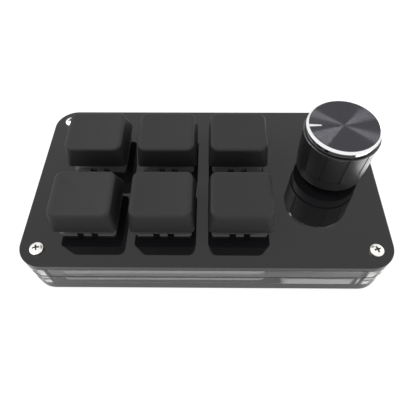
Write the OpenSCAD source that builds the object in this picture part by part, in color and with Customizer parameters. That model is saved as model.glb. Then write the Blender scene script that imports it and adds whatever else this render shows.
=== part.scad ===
// Macro keypad: six plate-mounted key switches and one rotary encoder with a knob.
// The case is a stack of laser-cut acrylic sheets on four threaded standoffs.
// Origin: middle of the footprint, on the surface that the rubber feet stand on.
// +X is right, +Y is the rear, where the data socket opens, and +Z is up.

/* [Case] */
// Width of the acrylic sheets
case_w = 103.5; // [100:0.5:130]
// Depth of the acrylic sheets
case_d = 59; // [58:0.5:80]
// Corner radius of the sheets
corner_r = 7; // [3:0.5:8]
// Thickness of the black top plate
plate_t = 2; // [1.5:0.1:3]
// Thickness of the upper clear frame
upper_t = 4.6; // [4.6:0.1:6]
// Thickness of the lower clear frame
lower_t = 4.2; // [4.2:0.1:6]
// Thickness of the base sheet
base_t = 3.5; // [2.5:0.1:5]
// Distance of the corner screws from the side edges
screw_inset_x = 5.2; // [4.5:0.1:5.5]
// Distance of the corner screws from the front and rear edges
screw_inset_y = 5.2; // [4.5:0.1:5.5]
// Diameter of the rubber feet
foot_d = 8; // [6:0.5:10]
// Height of the rubber feet
foot_t = 1.5; // [1:0.1:3]
// Distance of the feet from the side edges
foot_inset_x = 15; // [12:0.5:20]
// Distance of the feet from the front and rear edges
foot_inset_y = 8; // [6:0.5:14]

/* [Screws and standoffs] */
// Thread diameter of the screws
screw_d = 2; // [1.8:0.1:2.5]
// Length of the screws under the head
screw_len = 6; // [4.5:0.5:6]
// Diameter of the pan heads on top
pan_d = 3.8; // [3.6:0.1:4.5]
// Height of the pan heads
pan_h = 1.3; // [1.1:0.1:1.6]
// Diameter of the countersunk heads below
csk_d = 3.8; // [3.6:0.1:4.5]
// Width of the standoffs across their flats
standoff_af = 4; // [3.8:0.1:4.5]

/* [Layout] */
// Distance between the columns of keys
key_pitch_x = 21.3; // [19:0.1:22]
// Distance between the two rows of keys
key_pitch_y = 22.8; // [19:0.1:23.5]
// Middle of the key field, left or right of the case's middle
keys_x = -11.9; // [-13:0.1:-11]
// Middle of the key field, in front of or behind the case's middle
keys_y = -0.8; // [-2:0.1:0]
// Place of the knob to the right of the case's middle
knob_x = 37.5; // [36.5:0.1:38]
// Place of the knob in front of or behind the case's middle
knob_y = 3.9; // [0:0.1:6]

/* [Key switch] */
// Side of the square openings in the top plate
cutout = 14; // [13.9:0.05:14.2]
// Gap between a switch body and its opening, each side
switch_fit = 0.05; // [0.03:0.01:0.1]
// Width of the switch's collar on the plate
collar_w = 15.6; // [15:0.1:16]
// Thickness of the collar
collar_t = 1; // [0.8:0.1:1.2]
// Height of the switch's upper housing over the plate
housing_h = 6.6; // [6.2:0.1:6.8]
// Depth of the switch body below the top of the plate
seat_depth = 5; // [4.6:0.1:5.4]
// Travel of a key
travel = 3.6; // [3:0.1:3.7]
// Length of the cross on top of the stem
cross_l = 4.1; // [4:0.05:4.3]
// Thickness of the cross
cross_t = 1.25; // [1.1:0.05:1.4]
// Height of the cross
cross_h = 3.5; // [3.2:0.1:3.5]
// Diameter of the switch's centre post
post_d = 3.9; // [3.7:0.1:4.2]
// Length of the post and the pins below the switch body
pin_len = 3.3; // [3:0.1:3.5]
// Outer diameter of the return spring
spring_d = 4; // [3.9:0.05:4.1]
// Wire diameter of the return spring
wire_d = 0.3; // [0.2:0.05:0.4]
// Number of turns of the return spring
spring_turns = 8; // [6:1:9]

/* [Keycap] */
// Width of a keycap at its skirt
cap_w = 17.8; // [17.6:0.1:18.4]
// Depth of a keycap at its skirt
cap_d = 18; // [17.6:0.1:18.4]
// Width of a keycap's top
cap_top_w = 16.8; // [15:0.1:17.2]
// Depth of a keycap's top
cap_top_d = 14.9; // [14.6:0.1:16]
// Shift of the top towards the front
cap_shift = 1; // [0.5:0.1:1.2]
// Height of a keycap at its front corners
cap_h = 7.2; // [7.1:0.1:9]
// Rise of the top from front to rear
cap_rise = 0.4; // [0:0.1:1]
// Height of the skirt over the plate at rest
cap_lift = 4.3; // [4.1:0.1:4.4]
// Wall of a keycap
cap_wall = 0.9; // [0.7:0.05:0.95]
// Depth of the dish in the top
dish_depth = 0.5; // [0.2:0.1:0.6]
// Corner radius of the top, seen from above
cap_corner = 2.4; // [1.6:0.1:3]
// Rounding of the edge round the top
cap_edge = 0.9; // [0.4:0.1:1.2]
// Diameter of the boss that grips the cross
boss_d = 5.5; // [5.3:0.1:5.6]

/* [Circuit boards] */
// Thickness of the key board
board_t = 1.6; // [1:0.1:1.6]
// Thickness of the encoder board
enc_board_t = 1; // [0.8:0.1:1.2]
// Width of the board's tab over the data socket
tab_w = 11.4; // [10:0.1:14]
// Width of the data socket
socket_w = 8.94; // [8.9:0.02:9.1]
// Height of the data socket
socket_h = 3.26; // [3.1:0.02:3.3]
// Depth of the data socket
socket_d = 7.35; // [6.5:0.05:8]
// Width of the flat cable between the boards
cable_w = 5; // [4:0.5:6]

/* [Encoder] */
// Height of the encoder's body under the plate
enc_h = 6.5; // [6.2:0.1:6.6]
// Width of the encoder's body
enc_w = 12; // [11.6:0.1:12.4]
// Depth of the encoder's body
enc_d = 12.6; // [12:0.1:13]
// Diameter of the threaded bushing
bushing_d = 7; // [6.8:0.1:8]
// Length of the bushing from the underside of the plate
bushing_len = 7; // [6:0.1:7.5]
// Diameter of the shaft
shaft_d = 6; // [5.8:0.1:6]
// Length of the shaft from the underside of the plate
shaft_len = 15; // [14:0.5:16]
// Length of the flat on the shaft
flat_len = 7; // [6:0.5:7]
// Push travel of the shaft
push_travel = 0.5; // [0.2:0.05:0.5]
// Width of the nut across its flats
nut_af = 10; // [9:0.5:11]
// Thickness of the nut
nut_t = 2; // [1.5:0.1:2.2]
// Thickness of the washer
washer_t = 0.5; // [0.3:0.1:0.6]

/* [Knob] */
// Diameter of the knob's collar at the bottom
knob_d = 20; // [18:0.1:24]
// Gap under the knob
knob_gap = 2.6; // [1.5:0.1:3.5]
// Height of the knob's lower collar
knob_collar_h = 3.5; // [3:0.1:3.8]
// Height of the knob, from its lower edge to its top
knob_h = 16.8; // [16:0.1:20]
// How far the foot of the knob's body stands out over the collar
body_out_low = 0.3; // [0.1:0.1:0.6]
// How far the top of the knob's body stands out over the collar
body_out_top = 0.7; // [0.4:0.1:1]
// Height of the aluminium cap
knob_cap_h = 1.9; // [1.8:0.1:2.6]
// Width of the bevel, seen from above
bevel_w = 0.8; // [0.4:0.1:1.2]
// Height of the bevel
bevel_h = 0.6; // [0.4:0.1:1]
// Height of the grooves round the knob
ring_groove_h = 0.5; // [0.4:0.1:1]
// Number of upright grooves
flutes = 12; // [3:1:24]
// Width of the upright grooves
flute_w = 0.3; // [0.2:0.05:0.6]
// Diameter of the hub inside the knob
hub_d = 11; // [10:0.1:12]
// Length of the pointer mark
mark_l = 3.4; // [2:0.1:5]
// Width of the pointer mark
mark_w = 0.9; // [0.5:0.1:1.5]

/* [Hidden] */
KEYS = 6;
function each_key(name) = [for (i = [1:KEYS]) str(name, "_", i)];
$fn = 64;
eps = 0.01;

// Levels of the stack, from the surface up
base_z = foot_t;
lower_z = base_z + base_t;
upper_z = lower_z + lower_t;
plate_z = upper_z + upper_t;
top_z = plate_z + plate_t;

// How far a cutter reaches past a face where the amount doesn't matter
through = 1;
// Running gap between faces that slide or stand close
face_gap = 0.05;

// Key field: 1 to 3 are the rear row from the left, 4 to 6 the front row
key_cols = 3;
function key_x(i) = keys_x + ((i - 1) % key_cols - 1) * key_pitch_x;
function key_y(i) = keys_y + (i <= key_cols ? 0.5 : -0.5) * key_pitch_y;

// Window over the key board and its tab
body_w = cutout - 2 * switch_fit;
window_gap_x = 1.65;
window_gap_y = 2.3;
window_shift = -0.7;
window_x = keys_x + window_shift;
window_w = (key_cols - 1) * key_pitch_x + body_w + 2 * window_gap_x;
window_d = key_pitch_y + body_w + 2 * window_gap_y;
window_r = 2;
window_rear = keys_y + window_d / 2;
ledge = 1.5;
board_gap = 0.3;
rear_wall = 2;
tab_gap = 0.3;
tab_rear = case_d / 2 - rear_wall - tab_gap;
tab_r = 1;
tab_window_w = tab_w + 2 * tab_gap;
port_gap = 0.35;
port_w = socket_w + 2 * port_gap;

// Bay under the encoder, behind the rib that parts it from the window
enc_pin_out = 0.9;
enc_board_rim = 0.7;
enc_board_end = 1.3;
enc_board_w = enc_w + 2 * enc_board_rim;
enc_board_d = enc_d + 2 * (enc_pin_out + enc_board_end);
rib_w = 5;
bay_wall = 5.5;
bay_gap_x = 0.2;
bay_gap_y = 1.5;
bay_left = window_x + window_w / 2 + rib_w;
bay_right = knob_x + enc_w / 2 + bay_gap_x / 2;
bay_front = bay_wall - case_d / 2;
enc_bay_right = knob_x + enc_board_w / 2 + bay_gap_x;
enc_bay_front = knob_y - enc_board_d / 2 - bay_gap_y;
enc_bay_rear = knob_y + enc_board_d / 2 + bay_gap_y;
enc_hole_gap = 0.6;

// Flat cable, which crosses the rib in a channel
cable_t = 0.6;
cable_y = -1;
cable_lap = 3.4;
cable_bend = 1.5;
cable_run = 5;
channel_gap = 1.5;

// Holes for the fasteners
standoff_hole_gap = 0.15;
screw_hole_gap = 0.2;
thread_gap = 0.05;
csk_h = (csk_d - screw_d) / 2;
recess_arm = 0.55;
recess_share = 0.55;
pan_recess_share = 0.6;

// Circuit boards
board_top = top_z - seat_depth;
board_low = board_top - board_t;
post_gap = 0.05;
pin_hole = 1.3;

// Data socket under the tab
shell_t = 0.3;
mouth_inset = 0.3;
socket_mouth = case_d / 2 - mouth_inset;

// Key switch, from the top of the plate
switch_wall = 1;
floor_t = 1;
floor_z = -seat_depth + floor_t;
cavity_w = body_w - 2 * switch_wall;
corner_cut = 0.6;
clip_out = 0.2;
clip_w = 5;
clip_h = 1.15;
latch_x = 2;
latch_w = 1.65;
latch_t = 0.5;
latch_gap = 0.1;
latch_drop = 1.2;
latch_up = 0.5;
latch_in = body_w / 2 - latch_t - face_gap;
cover_top_w = 11.2;
cover_top_d = 10;
cover_low_w = 14.2;
cover_roof = 1.2;
mouth_w = 7.3;
mouth_d = 5.8;
stem_gap = 0.2;
stem_low = -0.2;
shoulder_t = 1;
shoulder_top = housing_h - cover_roof - stem_gap / 2;
shoulder_low = shoulder_top - shoulder_t;
stop_gap = 0.15;
guide_top = min(collar_t, shoulder_low - travel - stop_gap);
guide_gap = 0.15;
guide_t = 0.9;
guide_x = 3.7;
rail_w = 2;
rail_x = 4.6;
post_in_d = 3;
post_in_z = -0.6;
spring_room = 0.25;
spring_roof = 5.6;
bore_wall = 0.6;

// Contacts and pins of a switch
pin_a_x = 2.54;
pin_a_y = 5.08;
pin_b_x = 3.81;
pin_b_y = 2.54;
pin_a = [pin_a_x, pin_a_y];
pin_b = [-pin_b_x, pin_b_y];
pin_w = 0.8;
contact_t = 0.25;
contact_gap = 0.43;
contact_top = 0.9;
foot_gap = 0.1;
foot_h = 0.5;
leaf_y = pin_a.y - contact_t - contact_gap;
leaf_w = 5;
fixed_w = 2.2;

// Keycap
cap_skirt_r = 1.2;
cap_rim_h = 0.6;
cap_room = 0.15;
cap_roof_z = housing_h + travel + cap_room;
lean_share = 1.1;
room_shift_share = 0.8;
boss_gap = 0.2;
socket_fit = 0.03;
function cap_top_z(front) = cap_lift + cap_h + (front ? 0 : cap_rise);

// Encoder, from the top of the plate
enc_top = -plate_t;
enc_low = enc_top - enc_h;
enc_board_top = top_z + enc_low;
enc_board_low = enc_board_top - enc_board_t;
sheet_t = 0.4;
sheet_fit = 0.02;
sheet_inset = 1;
flange_t = 2;
flange_low = enc_top - flange_t;
enc_floor_t = 0.6;
enc_floor = enc_low + enc_floor_t;
dome_rest = 0.2;
dome_h = push_travel + dome_rest;
dome_d = 5;
dome_t = 0.15;
plunger_d = 4.4;
plunger_len = 0.75;
plunger_low = enc_floor + dome_h + face_gap;
plunger_top = plunger_low + plunger_len;
shaft_low = plunger_top + face_gap;
shaft_collar_d = 7;
shaft_collar_t = 0.45;
collar_low = flange_low - face_gap;
collar_top = collar_low + shaft_collar_t;
shaft_gap = 0.05;
rotor_d = 9.4;
rotor_gap = 0.2;
rotor_ledge = 0.7;
rotor_room = 0.15;
rotor_low = plunger_top + rotor_gap;
rotor_top = collar_low - push_travel - rotor_room;
spigot_d = 4.4;
spigot_w = 3.2;
spigot_gap = 0.1;
flat_depth = 1.5;
lug_w = 2;
lug_gap = 0.15;
bushing_gap = 0.1;
nut_gap = 0.03;
washer_rim = 1;
enc_pin_pitch = 2.5;
enc_pin_w = 0.8;
enc_pin_t = 0.3;
enc_pin_up = 0.5;
enc_pin_z = enc_low + enc_pin_up;
enc_pin_hole = 1;
board_pin_len = 0.8;
enc_pin_low = enc_low - enc_board_t - board_pin_len;

// Knob, from the top of the plate
knob_top = knob_gap + knob_h;
knob_cap_out = 0.2;
knob_cap_d = knob_d + 2 * knob_cap_out;
knob_edge = 0.3;
body_edge = 0.1;
ring_depth = 0.5;
flute_depth = 0.2;
knob_cap_low = knob_top - knob_cap_h;
knob_step = knob_gap + knob_collar_h;
knob_body_low = knob_step + ring_groove_h;
knob_body_top = knob_cap_low - ring_groove_h;
cap_skirt = 1.2;
cap_lip = 0.2;
cap_lip_h = 0.1;
spigot_inset = 1.2;
mark_depth = 0.15;
shaft_top = shaft_len - plate_t;
hub_fit = 0.02;
hub_roof = 0.8;
hub_top = shaft_top + hub_roof;
shaft_end_gap = 0.1;
flat_start_gap = 0.4;
bushing_clear = 0.3;
hub_low = max(shaft_top - flat_len + flat_start_gap,
    enc_top + bushing_len + push_travel + bushing_clear);
knob_room_d = 15.6;
hub_stand = 1;
knob_room_top = hub_low + hub_stand;

module round_rect(w, d, r) {
    square([w - 2 * r, d], center = true);
    square([w, d - 2 * r], center = true);
    for (sx = [-1, 1], sy = [-1, 1])
        translate([sx * (w / 2 - r), sy * (d / 2 - r)])
            circle(r = r);
}

module slab(w, d, r, z0, z1) {
    translate([0, 0, z0])
        linear_extrude(z1 - z0)
            round_rect(w, d, r);
}

module block(w, d, z0, z1) {
    translate([-w / 2, -d / 2, z0])
        cube([w, d, z1 - z0]);
}

module rod(d, z0, z1) {
    translate([0, 0, z0])
        cylinder(d = d, h = z1 - z0);
}

module at_corners() {
    for (sx = [-1, 1], sy = [-1, 1])
        translate([sx * (case_w / 2 - screw_inset_x), sy * (case_d / 2 - screw_inset_y), 0])
            children();
}

module at_key(i) {
    translate([key_x(i), key_y(i), top_z])
        children();
}

module at_keys() {
    for (i = [1:KEYS])
        at_key(i)
            children();
}

module at_knob() {
    translate([knob_x, knob_y, top_z])
        children();
}

// Acrylic sheets

module sheet(z0, z1) {
    slab(case_w, case_d, corner_r, z0, z1);
}

module key_window(rear_inset, z0, z1) {
    translate([window_x, keys_y - rear_inset / 2, 0])
        slab(window_w, window_d - rear_inset, window_r, z0 - eps, z1 + eps);
}

module pocket(x0, x1, y0, y1, z0, z1) {
    translate([(x0 + x1) / 2, (y0 + y1) / 2, 0])
        slab(x1 - x0, y1 - y0, window_r, z0 - eps, z1 + eps);
}

module tab_slab(w, rear, r, z0, z1) {
    front = window_rear - 2 * window_r;
    translate([keys_x, (front + rear) / 2, 0])
        slab(w, rear - front, r, z0, z1);
}

module standoff_holes(z0, z1) {
    at_corners()
        rod(standoff_af / cos(30) + 2 * standoff_hole_gap, z0 - eps, z1 + eps);
}

module top_plate() {
    color("#3a3a3b")
    difference() {
        sheet(plate_z, top_z);
        at_keys()
            block(cutout, cutout, -plate_t - eps, eps);
        at_knob()
            rod(bushing_d + 2 * bushing_gap, -plate_t - eps, eps);
        at_corners()
            rod(screw_d + 2 * screw_hole_gap, plate_z - eps, top_z + eps);
    }
}

module upper_frame() {
    color("#d9dcdd", 0.4)
    difference() {
        sheet(upper_z, plate_z);
        key_window(0, upper_z, plate_z);
        tab_slab(tab_window_w, case_d / 2 - rear_wall, tab_r, upper_z - eps, plate_z + eps);
        translate([knob_x, knob_y, 0])
            slab(enc_w + 2 * enc_hole_gap, enc_d + 2 * enc_hole_gap, window_r / 2,
                upper_z - eps, plate_z + eps);
        standoff_holes(upper_z, plate_z);
    }
}

module lower_frame() {
    color("#d9dcdd", 0.4)
    difference() {
        sheet(lower_z, upper_z);
        key_window(ledge, lower_z, upper_z);
        pocket(bay_left, bay_right, bay_front, enc_bay_rear, lower_z, upper_z);
        pocket(bay_left, enc_bay_right, enc_bay_front, enc_bay_rear, lower_z, upper_z);
        translate([keys_x - port_w / 2, keys_y, lower_z - eps])
            cube([port_w, case_d / 2 - keys_y + through, lower_t + 2 * eps]);
        translate([keys_x, cable_y - cable_w / 2 - channel_gap, lower_z - eps])
            cube([bay_left - keys_x + through, cable_w + 2 * channel_gap, lower_t + 2 * eps]);
        standoff_holes(lower_z, upper_z);
    }
}

module base_plate() {
    color("#4b4c4e")
    difference() {
        sheet(base_z, lower_z);
        at_corners() {
            rod(screw_d + 2 * screw_hole_gap, base_z - eps, lower_z + eps);
            translate([0, 0, base_z - eps])
                cylinder(d1 = csk_d + 2 * thread_gap, d2 = screw_d + 2 * thread_gap, h = csk_h + eps);
        }
    }
}

module rubber_feet() {
    foot_edge = 0.4;
    color("#1c1c1d")
    for (sx = [-1, 1], sy = [-1, 1])
        translate([sx * (case_w / 2 - foot_inset_x), sy * (case_d / 2 - foot_inset_y), 0]) {
            cylinder(d1 = foot_d - 2 * foot_edge, d2 = foot_d, h = foot_edge);
            rod(foot_d, foot_edge, foot_t);
        }
}

// Screws and standoffs

module cross_recess(w, depth) {
    for (turn = [0, 90])
        rotate(turn)
            translate([-w / 2, -recess_arm / 2, -depth])
                cube([w, recess_arm, depth + through]);
}

module top_screws() {
    rim_h = pan_h / 2;
    dome = pan_h - rim_h;
    dome_r = (pow(pan_d / 2, 2) + pow(dome, 2)) / (2 * dome);
    color("#e8e8e8")
    at_corners()
        translate([0, 0, top_z])
            difference() {
                union() {
                    intersection() {
                        rod(pan_d, 0, pan_h);
                        translate([0, 0, pan_h - dome_r])
                            sphere(r = dome_r);
                    }
                    rod(screw_d, -screw_len, eps);
                }
                translate([0, 0, pan_h])
                    cross_recess(pan_d * recess_share, pan_h * pan_recess_share);
            }
}

module base_screws() {
    color("#b9babb")
    at_corners()
        difference() {
            union() {
                translate([0, 0, base_z])
                    cylinder(d1 = csk_d, d2 = screw_d, h = csk_h);
                rod(screw_d, base_z, base_z + screw_len);
            }
            translate([0, 0, base_z])
                mirror([0, 0, 1])
                    cross_recess(csk_d * recess_share, csk_h);
        }
}

module standoffs() {
    color("#b89a5a")
    at_corners()
        difference() {
            translate([0, 0, lower_z])
                cylinder(d = standoff_af / cos(30), h = plate_z - lower_z, $fn = 6);
            rod(screw_d + 2 * thread_gap, lower_z - eps, plate_z + eps);
        }
}

// Circuit boards and what is on them

module key_board() {
    color("#20242a")
    difference() {
        union() {
            translate([window_x, keys_y, 0])
                slab(window_w - 2 * board_gap, window_d - 2 * board_gap, window_r - board_gap,
                    board_low, board_top);
            tab_slab(tab_w, tab_rear, tab_r - tab_gap, board_low, board_top);
        }
        for (i = [1:KEYS])
            translate([key_x(i), key_y(i), 0]) {
                rod(post_d + 2 * post_gap, board_low - eps, board_top + eps);
                for (p = [pin_a, pin_b])
                    translate(p)
                        rod(pin_hole, board_low - eps, board_top + eps);
            }
    }
}

module encoder_board() {
    color("#20242a")
    translate([knob_x, knob_y, 0])
        difference() {
            block(enc_board_w, enc_board_d, enc_board_low, enc_board_top);
            at_encoder_pins()
                rod(enc_pin_hole, enc_board_low - eps, enc_board_top + eps);
            for (sx = [-1, 1])
                translate([sx * (enc_w / 2 - sheet_t / 2), 0, 0])
                    block(sheet_t + 2 * lug_gap, lug_w + 2 * lug_gap,
                        enc_board_low - eps, enc_board_top + eps);
        }
}

module link_cable() {
    cable_start = keys_x + key_pitch_x + cable_lap;
    cable_end = knob_x - cable_lap;
    bend_1 = window_x + window_w / 2 - cable_bend;
    bend_2 = bay_left + cable_run;
    bend_in = cable_t / 3;
    color("#8f9295")
    translate([0, cable_y + cable_w / 2, 0])
        rotate([90, 0, 0])
            linear_extrude(cable_w)
                polygon([
                    [cable_start, board_low],
                    [bend_1, board_low],
                    [bend_2, enc_board_low],
                    [cable_end, enc_board_low],
                    [cable_end, enc_board_low - cable_t],
                    [bend_2 - bend_in, enc_board_low - cable_t],
                    [bend_1 - bend_in, board_low - cable_t],
                    [cable_start, board_low - cable_t]]);
}

module stadium(w, h) {
    square([w - h, h], center = true);
    for (sx = [-1, 1])
        translate([sx * (w - h) / 2, 0])
            circle(d = h);
}

module at_socket() {
    translate([keys_x, socket_mouth, board_low - socket_h / 2])
        rotate([90, 0, 0])
            children();
}

module usb_shell() {
    color("#c9cbcc")
    at_socket()
        difference() {
            linear_extrude(socket_d)
                stadium(socket_w, socket_h);
            translate([0, 0, -eps])
                linear_extrude(socket_d + 2 * eps)
                    stadium(socket_w - 2 * shell_t, socket_h - 2 * shell_t);
        }
}

module usb_tongue() {
    back_t = 1.4;
    tongue_w = 6.7;
    tongue_t = 0.7;
    tongue_in = 0.9;
    color("#18181a")
    at_socket() {
        translate([0, 0, socket_d - back_t])
            linear_extrude(back_t)
                stadium(socket_w - 2 * shell_t, socket_h - 2 * shell_t);
        block(tongue_w, tongue_t, tongue_in, socket_d - back_t + eps);
    }
}

module controller_chip() {
    chip_w = 7;
    chip_t = 1.4;
    chip_gap = 0.1;
    foot = 1;
    leads = 8;
    lead_pitch = 0.8;
    lead_w = 0.35;
    lead_t = 0.2;
    color("#151516")
    translate([keys_x - key_pitch_x / 2, keys_y, board_low]) {
        block(chip_w, chip_w, -chip_t, -chip_gap);
        for (turn = [0:90:270])
            rotate(turn)
                for (n = [0:leads - 1])
                    translate([chip_w / 2, (n - (leads - 1) / 2) * lead_pitch - lead_w / 2, 0]) {
                        translate([-eps, 0, -chip_t / 2])
                            cube([foot / 2, lead_w, lead_t]);
                        translate([foot / 2 - lead_t, 0, -chip_t / 2])
                            cube([lead_t, lead_w, chip_t / 2]);
                        translate([foot / 2 - lead_t, 0, -lead_t])
                            cube([foot / 2 + lead_t, lead_w, lead_t]);
                    }
    }
}

module board_parts() {
    diode = [2.7, 1.6, 1.1];
    diode_front = 5.4;
    chip_part = [2, 1.2, 0.5];
    chip_part_near = 5.5;
    chip_part_far = 8.5;
    chip_part_in = 1.5;
    crystal = [3.2, 2.5, 0.8];
    crystal_rear = 7.5;
    color("#2b2624")
    translate([0, 0, board_low]) {
        for (i = [1:KEYS])
            translate([key_x(i), key_y(i) - diode_front, 0])
                block(diode.x, diode.y, -diode.z, 0);
        for (sx = [-1, 1], x = [chip_part_near, chip_part_far])
            translate([keys_x + sx * x, window_rear - ledge - chip_part_in, 0])
                block(chip_part.x, chip_part.y, -chip_part.z, 0);
        translate([keys_x - key_pitch_x / 2, keys_y + crystal_rear, 0])
            block(crystal.x, crystal.y, -crystal.z, 0);
    }
}

// Key switch, drawn from the top of the plate at its own middle

module chamfered_square(w, cut) {
    h = w / 2;
    polygon([
        [cut - h, -h], [h - cut, -h], [h, cut - h], [h, h - cut],
        [h - cut, h], [cut - h, h], [-h, h - cut], [-h, cut - h]]);
}

module latch_seats() {
    for (sx = [-1, 1], sy = [-1, 1])
        scale([1, sy, 1])
            translate([sx * latch_x - latch_w / 2 - latch_gap, latch_in - latch_gap, -latch_drop - latch_gap])
                cube([latch_w + 2 * latch_gap, collar_w, latch_drop + collar_t + through]);
}

module pin_slots(gap) {
    for (p = [pin_a, pin_b])
        translate(p)
            block(pin_w + 2 * gap, contact_t + 2 * gap, -seat_depth - eps, floor_z + eps);
}

module switch_base() {
    color("#1b1b1c")
    difference() {
        union() {
            linear_extrude(collar_t)
                chamfered_square(collar_w, corner_cut);
            slab(body_w, body_w, corner_cut, -seat_depth, eps);
            for (sx = [-1, 1])
                translate([sx * (body_w / 2 + clip_out / 2 + switch_fit / 2), 0, 0])
                    block(clip_out + switch_fit, clip_w,
                        -plate_t - face_gap - clip_h, -plate_t - face_gap);
            rod(post_d, -seat_depth - pin_len, -seat_depth + eps);
        }
        difference() {
            block(cavity_w, cavity_w, floor_z, collar_t + eps);
            rod(post_in_d, floor_z - eps, post_in_z);
            for (sx = [-1, 1], sy = [-1, 1])
                translate([
                    sx * (guide_x + cavity_w / 2) / 2,
                    sy * (rail_w / 2 + guide_gap + guide_t / 2), 0])
                    block(cavity_w / 2 - guide_x + eps, guide_t, floor_z - eps, guide_top);
        }
        latch_seats();
        pin_slots(face_gap);
    }
}

module cover_form(low_w, top_w, top_d, z0, z1) {
    hull() {
        translate([0, 0, z0])
            linear_extrude(eps)
                chamfered_square(low_w, corner_cut);
        translate([0, 0, z1 - eps])
            linear_extrude(eps)
                square([top_w, top_d], center = true);
    }
}

module switch_cover() {
    wall = switch_wall;
    color("#232324")
    difference() {
        union() {
            cover_form(cover_low_w, cover_top_w, cover_top_d, collar_t, housing_h);
            for (sx = [-1, 1], sy = [-1, 1])
                scale([1, sy, 1])
                    translate([sx * latch_x - latch_w / 2, latch_in, -latch_drop])
                        cube([latch_w, latch_t, latch_drop + collar_t + latch_up]);
        }
        cover_form(cover_low_w - 2 * wall, cover_top_w - wall, cover_top_d - wall,
            collar_t - eps, housing_h - cover_roof);
        block(mouth_w, mouth_d, 0, housing_h + eps);
    }
}

module stem() {
    bore_d = spring_d + 2 * spring_room;
    color("#7a4a35")
    difference() {
        union() {
            block(cross_l, cross_t, housing_h - eps, housing_h + cross_h);
            block(cross_t, cross_l, housing_h - eps, housing_h + cross_h);
            block(mouth_w - 2 * stem_gap, mouth_d - 2 * stem_gap, shoulder_low, housing_h);
            block(2 * rail_x, mouth_d, shoulder_low, shoulder_top);
            block(2 * rail_x, rail_w, stem_low, shoulder_top);
            rod(bore_d + 2 * bore_wall, stem_low, shoulder_top);
        }
        rod(bore_d, stem_low - eps, spring_roof);
    }
}

// Return spring: one tube with a hexagonal section along a helix

module spring() {
    touch = 0.02;
    z0 = floor_z + wire_d / 2 + touch;
    z1 = spring_roof - wire_d / 2 - touch;
    r = (spring_d - wire_d) / 2;
    sides = 6;
    per_turn = 8;
    rings = spring_turns * per_turn;
    points = [for (k = [0:rings], s = [0:sides - 1])
        let (turn = 360 * k / per_turn, a = 360 * s / sides, q = r + wire_d / 2 * cos(a))
        [q * cos(turn), q * sin(turn), z0 + (z1 - z0) * k / rings + wire_d / 2 * sin(a)]];
    walls = [for (k = [0:rings - 1], s = [0:sides - 1])
        let (a = k * sides + s, b = k * sides + (s + 1) % sides)
        for (face = [[a, a + sides, b], [b, a + sides, b + sides]]) face];
    start = [for (s = [0:sides - 1]) s];
    end = [for (s = [sides - 1:-1:0]) rings * sides + s];
    color("#b5b7b9")
        polyhedron(points, concat([start, end], walls));
}

module leaf_contacts() {
    foot_z = floor_z + foot_gap;
    color("#c08a5a")
    at_keys() {
        translate(pin_b)
            block(pin_w, contact_t, -seat_depth - pin_len, foot_z + foot_h);
        translate([pin_b.x - pin_w / 2, pin_b.y - contact_t / 2, foot_z])
            cube([contact_t, leaf_y - pin_b.y + contact_t, foot_h]);
        translate([pin_b.x - pin_w / 2, leaf_y - contact_t / 2, foot_z])
            cube([leaf_w, contact_t, contact_top - foot_z]);
    }
}

module fixed_contacts() {
    foot_z = floor_z + foot_gap;
    color("#c08a5a")
    at_keys() {
        translate(pin_a)
            block(pin_w, contact_t, -seat_depth - pin_len, foot_z + foot_h);
        translate([pin_a.x - fixed_w, pin_a.y - contact_t / 2, foot_z])
            cube([fixed_w + pin_w / 2, contact_t, contact_top - foot_z]);
    }
}

// Keycap, drawn from the top of the plate at its own middle

module cap_outside() {
    hull() {
        for (sx = [-1, 1], front = [true, false])
            translate([
                sx * (cap_top_w / 2 - cap_corner),
                (front ? -1 : 1) * (cap_top_d / 2 - cap_corner) - cap_shift,
                cap_top_z(front) - cap_edge])
                rotate_extrude($fn = 32)
                    translate([cap_corner - cap_edge, 0])
                        circle(r = cap_edge, $fn = 16);
        for (sx = [-1, 1], sy = [-1, 1])
            translate([sx * (cap_w / 2 - cap_skirt_r), sy * (cap_d / 2 - cap_skirt_r), cap_lift])
                cylinder(r = cap_skirt_r, h = cap_rim_h, $fn = 32);
    }
}

module cap_inside() {
    low_w = cap_w - 2 * cap_wall;
    low_d = cap_d - 2 * cap_wall;
    top_w = cap_top_w - 2 * lean_share * cap_wall;
    top_d = cap_top_d - 2 * lean_share * cap_wall;
    hull() {
        translate([0, 0, cap_lift - eps])
            linear_extrude(eps)
                round_rect(low_w, low_d, cap_skirt_r / 2, $fn = 16);
        translate([0, -cap_shift * room_shift_share, cap_roof_z - eps])
            linear_extrude(eps)
                round_rect(top_w, top_d, cap_corner / 2, $fn = 16);
    }
}

module dish() {
    chord = cap_top_w - 2 * cap_edge;
    r = (pow(chord / 2, 2) + pow(dish_depth, 2)) / (2 * dish_depth);
    slope = atan(cap_rise / cap_top_d);
    translate([0, -cap_shift, cap_lift + cap_h + cap_rise / 2 - dish_depth + r])
        rotate([90 + slope, 0, 0])
            cylinder(r = r, h = 2 * cap_d, center = true, $fn = 200);
}

module keycap() {
    color("#3f3f40")
    difference() {
        union() {
            difference() {
                cap_outside();
                cap_inside();
            }
            rod(boss_d, housing_h + boss_gap, cap_roof_z + eps);
        }
        dish();
        block(cross_l + 2 * socket_fit, cross_t + 2 * socket_fit,
            housing_h, housing_h + cross_h + socket_fit);
        block(cross_t + 2 * socket_fit, cross_l + 2 * socket_fit,
            housing_h, housing_h + cross_h + socket_fit);
    }
}

// Rotary encoder with a push switch, drawn from the top of the plate at its shaft

module at_encoder_pins() {
    for (n = [-1, 0, 1])
        translate([n * enc_pin_pitch, -enc_d / 2 - enc_pin_out, 0])
            children();
    for (n = [-1, 1])
        translate([n * enc_pin_pitch, enc_d / 2 + enc_pin_out, 0])
            rotate(180)
                children();
}

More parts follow.
